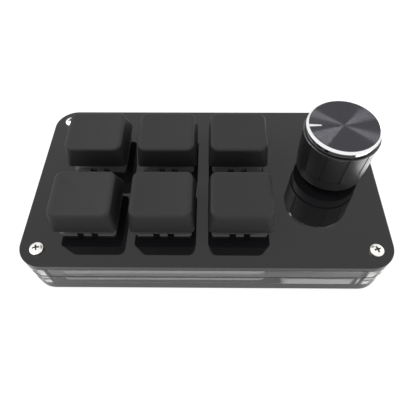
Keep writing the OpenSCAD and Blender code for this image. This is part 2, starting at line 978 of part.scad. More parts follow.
module encoder_base() {
    color("#3b3a36")
    at_knob()
        difference() {
            block(enc_w - 2 * sheet_t - 2 * sheet_fit, enc_d, enc_low, flange_low);
            rod(rotor_d + 2 * rotor_gap, rotor_low - face_gap, flange_low + eps);
            rod(rotor_d - 2 * rotor_ledge, enc_floor, flange_low);
        }
}

module encoder_cover() {
    color("#b9bbbd")
    at_knob()
        difference() {
            union() {
                block(enc_w, enc_d, enc_top - sheet_t, enc_top);
                for (sx = [-1, 1])
                    translate([sx * (enc_w - sheet_t) / 2, 0, 0]) {
                        block(sheet_t, enc_d - 2 * sheet_inset, enc_low + sheet_inset, enc_top);
                        block(sheet_t, lug_w, enc_pin_low, enc_top);
                    }
            }
            rod(bushing_d + 2 * face_gap, enc_top - sheet_t - eps, enc_top + eps);
        }
}

module encoder_bushing() {
    color("#c4c1b4")
    at_knob()
        difference() {
            union() {
                block(enc_w - 2 * sheet_t - 2 * sheet_fit, enc_d, flange_low, enc_top - sheet_t);
                rod(bushing_d, enc_top - sheet_t - eps, enc_top + bushing_len);
            }
            rod(shaft_d + 2 * shaft_gap, flange_low - eps, enc_top + bushing_len + eps);
            rod(shaft_collar_d + 2 * rotor_gap, flange_low - eps, collar_top + 2 * face_gap);
        }
}

module encoder_pins() {
    color("#cfcfc8")
    at_knob()
        at_encoder_pins() {
            block(enc_pin_w, enc_pin_t, enc_pin_low, enc_pin_z + enc_pin_t);
            translate([-enc_pin_w / 2, 0, enc_pin_z])
                cube([enc_pin_w, enc_pin_out, enc_pin_t]);
        }
}

module encoder_dome() {
    dome_r = (pow(dome_d / 2, 2) + pow(dome_h, 2)) / (2 * dome_h);
    color("#d8d8d6")
    at_knob()
        translate([0, 0, enc_floor + dome_h - dome_r])
            intersection() {
                difference() {
                    sphere(r = dome_r);
                    sphere(r = dome_r - dome_t);
                }
                rod(dome_d, dome_r - dome_h, dome_r);
            }
}

module encoder_plunger() {
    color("#d9d6cc")
    at_knob()
        rod(plunger_d, plunger_low, plunger_top);
}

module spigot(gap) {
    intersection() {
        rod(spigot_d + 2 * gap, shaft_low - gap, collar_low + eps);
        block(spigot_w + 2 * gap, 2 * spigot_d, shaft_low - gap, collar_low + eps);
    }
}

module encoder_rotor() {
    notches = 20;
    notch_d = 0.7;
    notch_in = 1;
    notch_depth = 0.3;
    color("#4d4a44")
    at_knob()
        difference() {
            rod(rotor_d, rotor_low, rotor_top);
            spigot(spigot_gap);
            for (n = [0:notches - 1])
                rotate(n * 360 / notches)
                    translate([rotor_d / 2 - notch_in, 0, rotor_top - notch_depth])
                        cylinder(d = notch_d, h = notch_depth + through, $fn = 24);
        }
}

module shaft_section(gap) {
    difference() {
        circle(d = shaft_d + 2 * gap);
        translate([-shaft_d, shaft_d / 2 - flat_depth + gap])
            square([2 * shaft_d, shaft_d]);
    }
}

module encoder_shaft() {
    color("#c8c9ca")
    at_knob() {
        spigot(0);
        rod(shaft_collar_d, collar_low, collar_top);
        rod(shaft_d, collar_low, shaft_top - flat_len);
        translate([0, 0, shaft_top - flat_len])
            linear_extrude(flat_len)
                shaft_section(0);
    }
}

module encoder_washer() {
    color("#c2c4c5")
    at_knob()
        difference() {
            rod(nut_af + 2 * washer_rim, 0, washer_t);
            rod(bushing_d + 2 * bushing_gap, -eps, washer_t + eps);
        }
}

module encoder_nut() {
    color("#bfc1c2")
    at_knob()
        translate([0, 0, washer_t])
            difference() {
                cylinder(d = nut_af / cos(30), h = nut_t, $fn = 6);
                rod(bushing_d + 2 * nut_gap, -eps, nut_t + eps);
            }
}

// Knob, drawn from the top of the plate at the shaft

module knob_insert() {
    color("#2c2c2d")
    at_knob()
        difference() {
            rod(hub_d, hub_low, hub_top);
            translate([0, 0, hub_low - eps])
                linear_extrude(shaft_top - hub_low + shaft_end_gap)
                    shaft_section(hub_fit);
        }
}

module knob_body() {
    collar_r = knob_d / 2;
    low_r = collar_r + body_out_low;
    top_r = collar_r + body_out_top;
    groove_r = collar_r - ring_depth;
    spigot_r = collar_r - spigot_inset;
    color("#1e1e20")
    at_knob()
        difference() {
            rotate_extrude()
                polygon([
                    [0, knob_gap],
                    [collar_r - knob_edge, knob_gap],
                    [collar_r, knob_gap + knob_edge],
                    [collar_r, knob_step],
                    [groove_r, knob_step],
                    [groove_r, knob_body_low],
                    [low_r, knob_body_low],
                    [top_r, knob_body_top - body_edge],
                    [top_r - body_edge, knob_body_top],
                    [groove_r, knob_body_top],
                    [groove_r, knob_cap_low],
                    [spigot_r, knob_cap_low],
                    [spigot_r, knob_top - cap_skirt],
                    [0, knob_top - cap_skirt]]);
            rod(knob_room_d, knob_gap - eps, knob_room_top);
            rod(hub_d + 2 * hub_fit, knob_gap - eps, hub_top);
            for (n = [0:flutes - 1])
                rotate(n * 360 / flutes)
                    rotate([90, 0, 0])
                        translate([0, 0, -flute_w / 2])
                            linear_extrude(flute_w)
                                polygon([
                                    [low_r - flute_depth, knob_body_low],
                                    [top_r + flute_depth, knob_body_low],
                                    [top_r + flute_depth, knob_body_top],
                                    [top_r - flute_depth, knob_body_top]]);
        }
}

module knob_cap() {
    cap_r = knob_cap_d / 2;
    spigot_r = knob_d / 2 - spigot_inset;
    color("#4a4a50")
    at_knob()
        difference() {
            rotate_extrude()
                polygon([
                    [0, knob_top - cap_skirt],
                    [spigot_r + hub_fit, knob_top - cap_skirt],
                    [spigot_r + hub_fit, knob_cap_low],
                    [cap_r - cap_lip, knob_cap_low],
                    [cap_r - cap_lip, knob_top - bevel_h - cap_lip_h - cap_lip],
                    [cap_r, knob_top - bevel_h - cap_lip_h],
                    [cap_r, knob_top - bevel_h],
                    [cap_r - bevel_w, knob_top],
                    [0, knob_top]]);
            translate([bevel_w - cap_r, -mark_w / 2, knob_top - mark_depth])
                cube([mark_l, mark_w, through]);
        }
}

top_plate();
upper_frame();
lower_frame();
base_plate();
rubber_feet();
top_screws();
base_screws();
standoffs();
key_board();
encoder_board();
link_cable();
usb_shell();
usb_tongue();
controller_chip();
board_parts();
leaf_contacts();
fixed_contacts();
for (i = [1:KEYS]) {
    at_key(i) switch_base();
    at_key(i) switch_cover();
    at_key(i) stem();
    at_key(i) spring();
    at_key(i) keycap();
}
encoder_base();
encoder_cover();
encoder_bushing();
encoder_pins();
encoder_dome();
encoder_plunger();
encoder_rotor();
encoder_shaft();
encoder_washer();
encoder_nut();
knob_insert();
knob_body();
knob_cap();
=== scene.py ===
import math

import bmesh
import bpy
from mathutils import Matrix, Vector


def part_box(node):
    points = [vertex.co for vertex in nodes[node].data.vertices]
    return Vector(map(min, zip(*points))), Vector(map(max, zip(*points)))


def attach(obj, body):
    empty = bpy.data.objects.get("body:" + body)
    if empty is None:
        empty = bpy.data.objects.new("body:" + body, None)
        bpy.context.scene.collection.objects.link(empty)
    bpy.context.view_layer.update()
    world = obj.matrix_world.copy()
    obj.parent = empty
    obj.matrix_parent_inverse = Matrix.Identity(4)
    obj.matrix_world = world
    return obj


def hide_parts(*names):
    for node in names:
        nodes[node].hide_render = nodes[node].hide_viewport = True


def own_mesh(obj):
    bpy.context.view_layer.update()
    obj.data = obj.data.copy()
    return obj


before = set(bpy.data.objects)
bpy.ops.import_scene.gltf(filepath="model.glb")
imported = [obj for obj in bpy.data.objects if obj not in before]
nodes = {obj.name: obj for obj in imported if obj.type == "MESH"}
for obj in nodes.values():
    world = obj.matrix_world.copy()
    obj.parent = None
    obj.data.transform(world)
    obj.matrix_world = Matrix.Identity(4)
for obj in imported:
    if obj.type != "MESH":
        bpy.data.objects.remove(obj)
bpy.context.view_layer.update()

# Rubber feet. Four discs of moulded black rubber, stuck under the base sheet.
# They keep their solids, and the skin of the rubber is a fine grain.
MM = 0.001


def linear(code):
    """An sRGB hex colour as the linear colour that a shader socket takes."""
    parts = [int(code[i:i + 2], 16) / 255 for i in (1, 3, 5)]
    return [c / 12.92 if c <= 0.04045 else ((c + 0.055) / 1.055) ** 2.4 for c in parts] + [1]


def add(tree, kind, values={}, links={}, **settings):
    """Adds one node, with its settings, its input values and the sockets that feed it."""
    node = tree.nodes.new(kind)
    for name, value in settings.items():
        setattr(node, name, value)
    for name, value in values.items():
        node.inputs[name].default_value = value
    for name, source in links.items():
        tree.links.new(source, node.inputs[name])
    return node


def new_material(name):
    """An empty material, its node tree, its principled shader and the place on the object."""
    material = bpy.data.materials.new(name)
    material.use_nodes = True
    tree = material.node_tree
    tree.nodes.clear()
    shader = add(tree, "ShaderNodeBsdfPrincipled")
    add(tree, "ShaderNodeOutputMaterial", links={"Surface": shader.outputs["BSDF"]})
    place = add(tree, "ShaderNodeTexCoord").outputs["Object"]
    return material, tree, shader, place


def finish(shader, values={}, links={}):
    """Sets the sockets of a material's shader."""
    for name, value in values.items():
        shader.inputs[name].default_value = value
    for name, source in links.items():
        shader.id_data.links.new(source, shader.inputs[name])


def calc(tree, operation, *terms):
    """The outcome of one sum in a node tree. Its terms are numbers or sockets."""
    node = add(tree, "ShaderNodeMath", operation=operation)
    for socket, term in zip(node.inputs, terms):
        if isinstance(term, bpy.types.NodeSocket):
            tree.links.new(term, socket)
        else:
            socket.default_value = term
    return node.outputs[0]


def banded(tree, share, stops):
    """A colour for each share of the way, blended in between."""
    band = add(tree, "ShaderNodeValToRGB", links={"Fac": share})
    ramp = band.color_ramp.elements
    while len(ramp) < len(stops):
        ramp.new(0.5)
    for element, (height, code) in zip(ramp, stops):
        element.position = height
        element.color = linear(code)
    return band.outputs["Color"]


def textured(name, code, size, rough, values, detail=3.0, span=(0, 1), stretch=None, relief=None):
    """A material with a noise of one size in it, which stretch draws out into lines.

    Rough holds the two roughnesses that the gloss wanders between over a span of the noise, or is None.
    Relief holds the strength and the height of the grain that the noise raises in the skin.
    """
    material, tree, shader, place = new_material(name)
    if stretch:
        place = add(tree, "ShaderNodeMapping", {"Scale": stretch}, {"Vector": place}).outputs["Vector"]
    noise = add(tree, "ShaderNodeTexNoise", {"Scale": 1 / size, "Detail": detail}, {"Vector": place})
    noise = noise.outputs["Fac"]
    finish(shader, {"Base Color": linear(code), **values})
    if rough:
        gloss = add(tree, "ShaderNodeMapRange",
                    {"From Min": span[0], "From Max": span[1], "To Min": rough[0], "To Max": rough[1]},
                    {"Value": noise})
        finish(shader, {}, {"Roughness": gloss.outputs["Result"]})
    if relief:
        bump = add(tree, "ShaderNodeBump", {"Strength": relief[0], "Distance": relief[1]}, {"Height": noise})
        finish(shader, {}, {"Normal": bump.outputs["Normal"]})
    return material


def dress(material, *names):
    """Gives CAD nodes a material."""
    for name in names:
        mesh = nodes[name].data
        mesh.materials.clear()
        mesh.materials.append(material)


# Moulded rubber is nearly black and dull, with a fine grain that breaks up the light.
rubber = textured("moulded_rubber", "#1b1b1c", 0.25 * MM, None, {"Roughness": 0.75, "IOR": 1.52},
                  relief=(0.5, 0.03 * MM))
dress(rubber, "rubber_feet")

# Base sheet. Dark cast acrylic, laser-cut, with a countersink for each screw below.
# It keeps its solid, whose edges are broken a little.


def break_edges(width, *names):
    """Breaks the sharp edges of CAD nodes, as a file or a mould does."""
    for name in names:
        bevel = nodes[name].modifiers.new("broken_edges", "BEVEL")
        bevel.width = width
        bevel.segments = 2
        bevel.limit_method = "ANGLE"
        bevel.angle_limit = math.radians(40)


# Cast acrylic is black all through and like a mirror, with faint smears that dull it here and there.
black_acrylic = textured("cast_acrylic_black", "#18181a", 14 * MM, (0.015, 0.045), {"IOR": 1.49}, 4.0,
                         span=(0.35, 0.7))
dress(black_acrylic, "base_plate")
break_edges(0.06 * MM, "base_plate")

# Clear frames. Two rings of clear cast acrylic with windows for the boards, a bay for the encoder,
# a channel for the flat cable and an opening for the data socket.
# Each is a laser-cut sheet from which the windows are cut. The cut walls inside are frosted and painted in
# bands of light and shade by height, and dull films of painted light and shade lie on their tops.
hair = MM / 10000


def arc(cx, cy, radius, start, end, count):
    """Points on an arc, from one angle to another in degrees."""
    angles = [math.radians(start + (end - start) * k / count) for k in range(count + 1)]
    return [(cx + radius * math.cos(a), cy + radius * math.sin(a)) for a in angles]


def circle(cx, cy, radius, count):
    """Points round a circle, anticlockwise."""
    return arc(cx, cy, radius, 0, 360 - 360 / count, count - 1)


def rounded(cx, cy, w, d, r, count=16):
    """The points round a rounded rectangle, anticlockwise."""
    points = []
    for quarter, (sx, sy) in enumerate(((1, -1), (1, 1), (-1, 1), (-1, -1))):
        x = cx + sx * (w / 2 - r)
        y = cy + sy * (d / 2 - r)
        points += arc(x, y, r, 90 * quarter - 90, 90 * quarter, count)
    return points


def opening(left, right, front, rear, r):
    """A rounded rectangle between four walls."""
    return rounded((left + right) / 2, (front + rear) / 2, right - left, rear - front, r, 8)


def show(name, data):
    """Puts an object into the scene."""
    thing = bpy.data.objects.new(name, data)
    bpy.context.scene.collection.objects.link(thing)
    return thing


def as_mesh(host, name):
    """The plain mesh that an object's curve or modifiers give. The object has then done its work."""
    bpy.context.view_layer.update()
    mesh = bpy.data.meshes.new_from_object(host.evaluated_get(bpy.context.evaluated_depsgraph_get()))
    host.modifiers.clear()
    bpy.data.objects.remove(host)
    mesh.name = name
    return mesh


def sealed(made, name):
    """Ends a mesh in the making, with its faces pointing outwards."""
    bmesh.ops.recalc_face_normals(made, faces=made.faces)
    mesh = bpy.data.meshes.new(name)
    made.to_mesh(mesh)
    made.free()
    return mesh


def at(mesh, x, y, z):
    """A mesh moved to a spot."""
    mesh.transform(Matrix.Translation((x, y, z)))
    return mesh


def cut_sheet(name, outline, holes, low, high, edge):
    """A flat sheet with holes, whose edges are broken by a small chamfer."""
    curve = bpy.data.curves.new(name, "CURVE")
    curve.dimensions = "2D"
    curve.fill_mode = "BOTH"
    curve.extrude = (high - low) / 2 - edge
    curve.bevel_depth = edge
    curve.bevel_resolution = 1
    curve.offset = -edge
    for loop in [outline] + [list(reversed(hole)) for hole in holes]:
        spline = curve.splines.new("POLY")
        spline.points.add(len(loop) - 1)
        for point, (x, y) in zip(spline.points, loop):
            point.co = (x, y, 0, 1)
        spline.use_cyclic_u = True
    welded = bmesh.new()
    welded.from_mesh(at(as_mesh(show(name, curve), name), 0, 0, (low + high) / 2))
    bmesh.ops.remove_doubles(welded, verts=welded.verts, dist=hair)
    return sealed(welded, name)


def bridge(made, a, b):
    """Faces between two loops of vertices."""
    for i in range(len(a)):
        j = (i + 1) % len(a)
        made.faces.new([a[i], a[j], b[j], b[i]])


def lofted(name, loops):
    """A closed solid through a row of loops of points."""
    made = bmesh.new()
    rows = [[made.verts.new(point) for point in loop] for loop in loops]
    for a, b in zip(rows, rows[1:]):
        bridge(made, a, b)
    made.faces.new(list(reversed(rows[0])))
    made.faces.new(rows[-1])
    return sealed(made, name)


def prism(name, outline, low, high):
    """A solid that stands on an outline."""
    return lofted(name, [[(x, y, z) for x, y in outline] for z in (low, high)])


def cut(mesh, cutter, name):
    """One mesh less another."""
    host = show(name, mesh)
    tool = show(name + "_tool", cutter)
    boolean = host.modifiers.new("cut", "BOOLEAN")
    boolean.operation = "DIFFERENCE"
    boolean.solver = "EXACT"
    boolean.object = tool
    result = as_mesh(host, name)
    bpy.data.objects.remove(tool)
    return result


def paint(mesh, materials, choose):
    """Gives a mesh several materials, where choose tells the number of the one that a face takes."""
    mesh.materials.clear()
    for material in materials:
        mesh.materials.append(material)
    for face in mesh.polygons:
        face.material_index = choose(face)


def put(name, mesh, material, body, replaced=(), sharp=30):
    """Shows a finished mesh as a piece: smooth but for its edges, with its material, riding on a body."""
    piece = show(name, mesh)
    if material:
        mesh.materials.clear()
        mesh.materials.append(material)
    mesh.shade_smooth()
    mesh.set_sharp_from_angle(angle=math.radians(sharp))
    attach(piece, body)
    if replaced:
        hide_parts(*replaced)
    return piece


# Clear acrylic is water clear, with a trace of haze on its laser-cut edge.
clear_acrylic = textured("cast_acrylic_clear", "#fafcfc", 2 * MM, (0.0, 0.03),
                         {"IOR": 1.49, "Transmission Weight": 1.0})

# Each frame lies under a dull film that hides what is above it: white on the upper one, a pale sheet that
# throws painted light into its walls, and black on the lower, painted shade between the frames.
painted_light_films = {name: textured(name + "_film", code, 1 * MM, (0.4, 0.6), {"IOR": 1.49})
         for name, code in (("upper_frame", "#f4f4f4"), ("lower_frame", "#161617"))}


def painted_light_wall(name, node, stops):
    """Paints a frosted wall in bands of light and shade: a grey for each share of the way up the frame."""
    low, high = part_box(node)
    material, tree, shader, place = new_material(name)
    spot = add(tree, "ShaderNodeSeparateXYZ", links={0: place})
    share = add(tree, "ShaderNodeMapRange", {"From Min": low.z, "From Max": high.z},
                {"Value": spot.outputs["Z"]})
    band = banded(tree, share.outputs["Result"], stops)
    finish(shader, {"Roughness": 0.6, "IOR": 1.49}, {"Base Color": band})
    return material


# A frosted wall is painted with a bright band of painted light, with painted shade dark above and below it.
painted_shade = "#202020"
painted_light = "#ffffff"
upper_wall = painted_light_wall("painted_light_upper_wall", "upper_frame",
                          [(0.36, painted_shade), (0.42, painted_light), (0.65, painted_light), (0.9, "#909090")])
window_wall = painted_light_wall("painted_light_window_wall", "lower_frame",
                           [(0.59, painted_shade), (0.62, painted_light), (0.88, painted_light), (0.91, painted_shade)])
bay_wall = painted_light_wall("painted_light_bay_wall", "lower_frame", [(0.12, painted_shade), (0.16, painted_light)])

plate_low, plate_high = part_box("top_plate")
case_w = plate_high.x - plate_low.x
case_d = plate_high.y - plate_low.y
case_r = 7 * MM
case_outline = rounded(0, 0, case_w, case_d, case_r)
screw_low, screw_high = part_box("top_screws")
head_r = 1.9 * MM
screws_x = screw_high.x - head_r
screws_y = screw_high.y - head_r
corners = [(sx * screws_x, sy * screws_y) for sx in (-1, 1) for sy in (-1, 1)]
standoff_hole_r = 2.46 * MM
standoff_room = 3 * MM
standoff_holes = [circle(x, y, standoff_hole_r, 36) for x, y in corners]
board_low, board_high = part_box("key_board")
board_gap = 0.3 * MM
window_d = 41.3 * MM
window_left = board_low.x - board_gap
window_right = board_high.x + board_gap
window_front = board_low.y - board_gap
window_rear = window_front + window_d
window_r = 2 * MM
ledge = 1.5 * MM
small_low, small_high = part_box("encoder_board")
small_gap = 0.2 * MM
encoder_low, encoder_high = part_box("encoder_cover")
encoder_gap = 0.1 * MM
encoder_room_x = 0.6 * MM
encoder_room_y = 0.9 * MM
rib = 5 * MM
bay_left = window_right + rib
bay_front_wall = 5.5 * MM
bay_front = bay_front_wall - case_d / 2
cable_low, cable_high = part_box("link_cable")
channel = 1.5 * MM
bay_rear = small_high.y + channel
shell_low, shell_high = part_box("usb_shell")
socket_x = (shell_low.x + shell_high.x) / 2
socket_half = 4.82 * MM
slot_r = 0.1 * MM
overshoot = 2 * MM
tab_half = 6 * MM
tab_overlap = 4 * MM
tab_wall = 2 * MM
# The painted films begin this far in front of the window, and the seam's painted shade is this high.
painted_film_overlap = 2 * MM
painted_film_y = window_front - painted_film_overlap
film_gap = 0.02 * MM
painted_seam_h = 0.7 * MM


def cut_frame(name, windows, walls):
    """One clear frame with its windows cut. Walls gives the banded painted light and shade of their walls
    left and right of the rib.
    """
    low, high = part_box(name)
    sheet = name + "_sheet"
    mesh = cut_sheet(sheet, case_outline, standoff_holes, low.z + film_gap, high.z - film_gap, 0.0)
    for outline in windows:
        mesh = cut(mesh, prism("window", outline, low.z - MM, high.z + MM), sheet)
    split = bmesh.new()
    split.from_mesh(mesh)
    for point, normal in (((0, painted_film_y, 0), (0, 1, 0)), ((0, 0, low.z + painted_seam_h), (0, 0, 1))):
        bmesh.ops.bisect_plane(split, geom=split.verts[:] + split.edges[:] + split.faces[:], plane_co=point,
                               plane_no=normal)
    split.to_mesh(mesh)
    split.free()

    def skin(face):
        """A painted film on top, frosted walls with painted bands in the windows, a dark band of painted
        shade round the foot as the seam, and clear elsewhere.
        """
        x, y, z = face.center
        bored = any(math.hypot(x - cx, y - cy) < standoff_room for cx, cy in corners)
        inside = abs(x) < case_w / 2 - MM and abs(y) < case_d / 2 - MM
        upright = abs(face.normal.z) < 0.5
        if face.normal.z > 0.5 and y > painted_film_y:
            return 1
        if inside and upright and not bored:
            return 2 if x < window_right + MM else 3
        # The upper frame's foot takes the lower film's black: painted shade for the seam between the frames.
        if name == "upper_frame" and upright and not inside and z < low.z + painted_seam_h:
            return 4
        return 0

    paint(mesh, (clear_acrylic, painted_light_films[name], *walls, painted_light_films["lower_frame"]), skin)
    put(name + "_cut", mesh, None, "root", [name])


cut_frame("upper_frame", [
    opening(window_left, window_right, window_front, window_rear, window_r),
    opening(socket_x - tab_half, socket_x + tab_half, window_rear - tab_overlap, case_d / 2 - tab_wall, MM),
    opening(encoder_low.x - encoder_room_x, encoder_high.x + encoder_room_x, encoder_low.y - encoder_room_y,
            encoder_high.y + encoder_room_y, MM)], (upper_wall, upper_wall))
cut_frame("lower_frame", [
    opening(window_left, window_right, window_front, window_rear - ledge, window_r),
    opening(bay_left, encoder_high.x + encoder_gap, bay_front, bay_rear, window_r),
    opening(bay_left, small_high.x + small_gap, small_low.y - channel, bay_rear, window_r),
    opening(socket_x - socket_half, socket_x + socket_half, 0, case_d / 2 + overshoot, slot_r),
    opening(socket_x, bay_left + MM, cable_low.y - channel, cable_high.y + channel, slot_r)],
          (window_wall, bay_wall))

# Standoffs. Four hexagonal pillars of nickel plated brass that the screws pull the stack together on.
# They keep their solids, with the ends broken, and show bright through the clear corners.

# Nickel plate is bright and a little warm, with a satin polish that wanders.
nickel = textured("nickel_plate", "#faf8f4", 0.6 * MM, (0.24, 0.4), {"Metallic": 1.0}, 4.0)
dress(nickel, "standoffs")
break_edges(0.2 * MM, "standoffs")

# Top sheet. Glossy black cast acrylic with six square openings, laser-cut.
# The outline and its holes are drawn flat and given their thickness, with the edge just broken.
KEYS = range(1, 7)
key_hole = 14 * MM
key_hole_r = 0.3 * MM
bushing_hole_r = 3.6 * MM
screw_hole_r = 1.2 * MM
sheet_edge = 0.12 * MM


def middle(name):
    """The middle of a CAD node's box."""
    low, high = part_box(name)
    return (low + high) / 2


key_spots = {i: middle(f"switch_base_{i}") for i in KEYS}
knob_spot = middle("encoder_nut")
holes = [rounded(p.x, p.y, key_hole, key_hole, key_hole_r, 3) for p in key_spots.values()]
holes.append(circle(knob_spot.x, knob_spot.y, bushing_hole_r, 60))
holes += [circle(x, y, screw_hole_r, 36) for x, y in corners]
sheet = cut_sheet("top_sheet", case_outline, holes, plate_low.z, plate_high.z, sheet_edge)
put("top_sheet", sheet, black_acrylic, "root", ["top_plate"], sharp=12)

# Screws. Nickel plated steel, four pan heads on top and four countersunk heads below.
# One of each is turned, struck with a tapered cross and set at the corners by Geometry Nodes.
spin_steps = 96


def turned(name, profile, angles=None, shape=None):
    """A mesh spun from (radius, height) points about Z. Shape may change the radius at an angle."""
    angles = angles or [2 * math.pi * s / spin_steps for s in range(spin_steps)]
    made = bmesh.new()
    rings = []
    for radius, height in profile:
        if radius < hair:
            rings.append([made.verts.new((0, 0, height))])
            continue
        ring = []
        for a in angles:
            r = shape(radius, height, a) if shape else radius
            ring.append(made.verts.new((r * math.cos(a), r * math.sin(a), height)))
        rings.append(ring)
    pairs = list(zip(rings, rings[1:]))
    if len(rings[0]) > 1:
        pairs.append((rings[-1], rings[0]))
    for low, high in pairs:
        for s in range(len(angles)):
            t = (s + 1) % len(angles)
            loop = [low[s % len(low)], low[t % len(low)], high[t % len(high)], high[s % len(high)]]
            loop = [v for i, v in enumerate(loop) if v not in loop[:i]]
            if len(loop) > 2:
                made.faces.new(loop)
    return sealed(made, name)


def geometry_tree(name, sockets):
    """An empty Geometry Nodes tree with named inputs and one geometry output, and its group input node."""
    tree = bpy.data.node_groups.new(name, "GeometryNodeTree")
    tree.interface.new_socket("Geometry", in_out="INPUT", socket_type="NodeSocketGeometry")
    for label, kind in sockets.items():
        tree.interface.new_socket(label, in_out="INPUT", socket_type="NodeSocket" + kind)
    tree.interface.new_socket("Geometry", in_out="OUTPUT", socket_type="NodeSocketGeometry")
    return tree, add(tree, "NodeGroupInput")


def end_tree(tree, given, geometry):
    """Ends a tree as the export needs: real geometry with its material."""
    real = add(tree, "GeometryNodeRealizeInstances", links={"Geometry": geometry})
    made = add(tree, "GeometryNodeSetMaterial",
               links={"Geometry": real.outputs["Geometry"], "Material": given.outputs["Material"]})
    add(tree, "NodeGroupOutput", links={"Geometry": made.outputs["Geometry"]})


def grown(name, mesh, tree, values):
    """Runs a Geometry Nodes tree on a mesh and returns the result as a plain mesh."""
    host = show(name + "_host", mesh)
    modifier = host.modifiers.new("grow", "NODES")
    modifier.node_group = tree
    for item in tree.interface.items_tree:
        if item.item_type == "SOCKET" and item.in_out == "INPUT" and item.name in values:
            modifier[item.identifier] = values[item.name]
    return as_mesh(host, name)


# Sets a form out in columns and rows about the middle, each copy turned by its own amount.
set_out, given = geometry_tree("set_out", {"Width": "Float", "Depth": "Float", "Columns": "Int",
                                           "Rows": "Int", "Turn": "Float", "Seed": "Int",
                                           "Material": "Material"})
grid = add(set_out, "GeometryNodeMeshGrid",
           links={"Vertices X": given.outputs["Columns"], "Vertices Y": given.outputs["Rows"],
                  "Size X": given.outputs["Width"], "Size Y": given.outputs["Depth"]})
chance = add(set_out, "FunctionNodeRandomValue", {2: 0.0},
             {3: given.outputs["Turn"], "Seed": given.outputs["Seed"]}, data_type="FLOAT")
turn = add(set_out, "ShaderNodeCombineXYZ", links={"Z": chance.outputs[1]})
spots = add(set_out, "GeometryNodeInstanceOnPoints",
            links={"Points": grid.outputs["Mesh"], "Instance": given.outputs["Geometry"],
                   "Rotation": turn.outputs["Vector"]})
end_tree(set_out, given, spots.outputs["Instances"])


def cross_outline(reach, arm):
    """The points round a cross whose arms are twice arm wide, anticlockwise."""
    points = []
    for quarter in range(4):
        spin = Matrix.Rotation(quarter * math.pi / 2, 2)
        points += [tuple(spin @ Vector(p)) for p in ((arm, -arm), (reach, -arm), (reach, arm))]
    return points


def cross_cutter(reach, width, depth):
    """A cross-shaped plug, narrower at its bottom, that cuts a driver recess."""
    bottom_share = 0.45
    stand_out = 0.3 * MM
    loops = []
    for height, share in ((-depth, bottom_share), (stand_out, 1.0)):
        outline = cross_outline(reach * share, width / 2 * (0.5 + share / 2))
        loops.append([(x, y, height) for x, y in outline])
    return lofted("cross_cutter", loops)


# The walls of each cross take a dull, darker grey: painted shade in the recess.
recess_shade = textured("painted_recess_shade", "#86837f", 0.2 * MM, (0.4, 0.6), {"Metallic": 1.0})
plating = 0.03 * MM
deepest = MM
margin = 0.05 * MM


def paint_recess_shade(mesh, reach, depth):
    """Gives the walls of each cross a darker material, painted shade in the recess. Depth tells how far a
    face lies below the head.
    """
    def in_cross(face):
        x, y, z = face.center
        radius = min(math.hypot(x - cx, y - cy) for cx, cy in corners)
        return int(radius < reach + margin and plating < depth(radius, z) < deepest)

    paint(mesh, (nickel, recess_shade), in_cross)


shank_r = 1.0 * MM
tip = 0.3 * MM
shoulder_r = 0.22 * MM
foot_r = 0.1 * MM
head_h = screw_high.z - plate_high.z
tip_z = screw_low.z - plate_high.z
rim_h = 0.42 * head_h
ball_r = (head_r ** 2 + (head_h - rim_h) ** 2) / (2 * (head_h - rim_h))
head_steps = 24
shoulder_step = 22
dome = [head_r * k / head_steps for k in range(shoulder_step)]
profile = [(r, head_h - ball_r + math.sqrt(ball_r ** 2 - r ** 2)) for r in dome]
profile += arc(head_r - shoulder_r, rim_h, shoulder_r, 50, 0, 5)
profile += arc(head_r - foot_r, foot_r, foot_r, 0, -90, 3)
profile += [(shank_r, 0), (shank_r, tip_z + tip), (shank_r - tip, tip_z), (0, tip_z)]
cross_reach = 1.2 * MM
cross_w = 0.6 * MM
cross_depth = 0.8 * MM
recess = at(cross_cutter(cross_reach, cross_w, cross_depth), 0, 0, head_h)
head = cut(turned("pan_head", profile), recess, "pan_head")
corner_values = {"Width": 2 * screws_x, "Depth": 2 * screws_y, "Columns": 2, "Rows": 2, "Turn": 0.5,
                 "Seed": 5, "Material": nickel}
made = at(grown("pan_screws", head, set_out, corner_values), 0, 0, plate_high.z)
ball_z = plate_high.z + head_h - ball_r
paint_recess_shade(made, cross_reach, lambda r, z: ball_z + math.sqrt(ball_r ** 2 - r ** 2) - z)
put("pan_screws", made, None, "root", ["top_screws"])

low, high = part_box("base_screws")
length = high.z - low.z
sunk_r = high.x - screws_x
sunk_edge = 0.05 * MM
profile = [(0, 0), (sunk_r - sunk_edge, 0), (sunk_r, sunk_edge), (shank_r, sunk_r - shank_r),
           (shank_r, length - tip), (shank_r - tip, length), (0, length)]
cross_reach = 1.0 * MM
cross_w = 0.52 * MM
cross_depth = 0.7 * MM
recess = cross_cutter(cross_reach, cross_w, cross_depth)
recess.transform(Matrix.Rotation(math.pi, 4, "X"))
head = cut(turned("sunk_head", profile), recess, "sunk_head")
made = at(grown("sunk_screws", head, set_out, corner_values), 0, 0, low.z)
paint_recess_shade(made, cross_reach, lambda r, z: z - low.z)
put("sunk_screws", made, None, "root", ["base_screws"])

# Boards. Glass-epoxy with black solder mask, the keys' board with a tab over the data socket.
# They keep their solids. The solder joints of the keys are set out by Geometry Nodes.

# Black solder mask is smooth, with the copper tracks just raised under it.
mask, tree, shader, place = new_material("black_solder_mask")
track_pitch = 2.6 * MM
track_share = 0.06
tracks = add(tree, "ShaderNodeTexVoronoi", {"Scale": 1 / track_pitch}, {"Vector": place},
             distance="MANHATTAN", feature="DISTANCE_TO_EDGE")
ridge = calc(tree, "LESS_THAN", tracks.outputs["Distance"], track_share)
tint = banded(tree, ridge, [(0, "#14171b"), (1, "#20262e")])
bump = add(tree, "ShaderNodeBump", {"Strength": 0.4, "Distance": 0.03 * MM}, {"Height": ridge})
finish(shader, {"Roughness": 0.3, "IOR": 1.5}, {"Base Color": tint, "Normal": bump.outputs["Normal"]})
dress(mask, "key_board", "encoder_board")

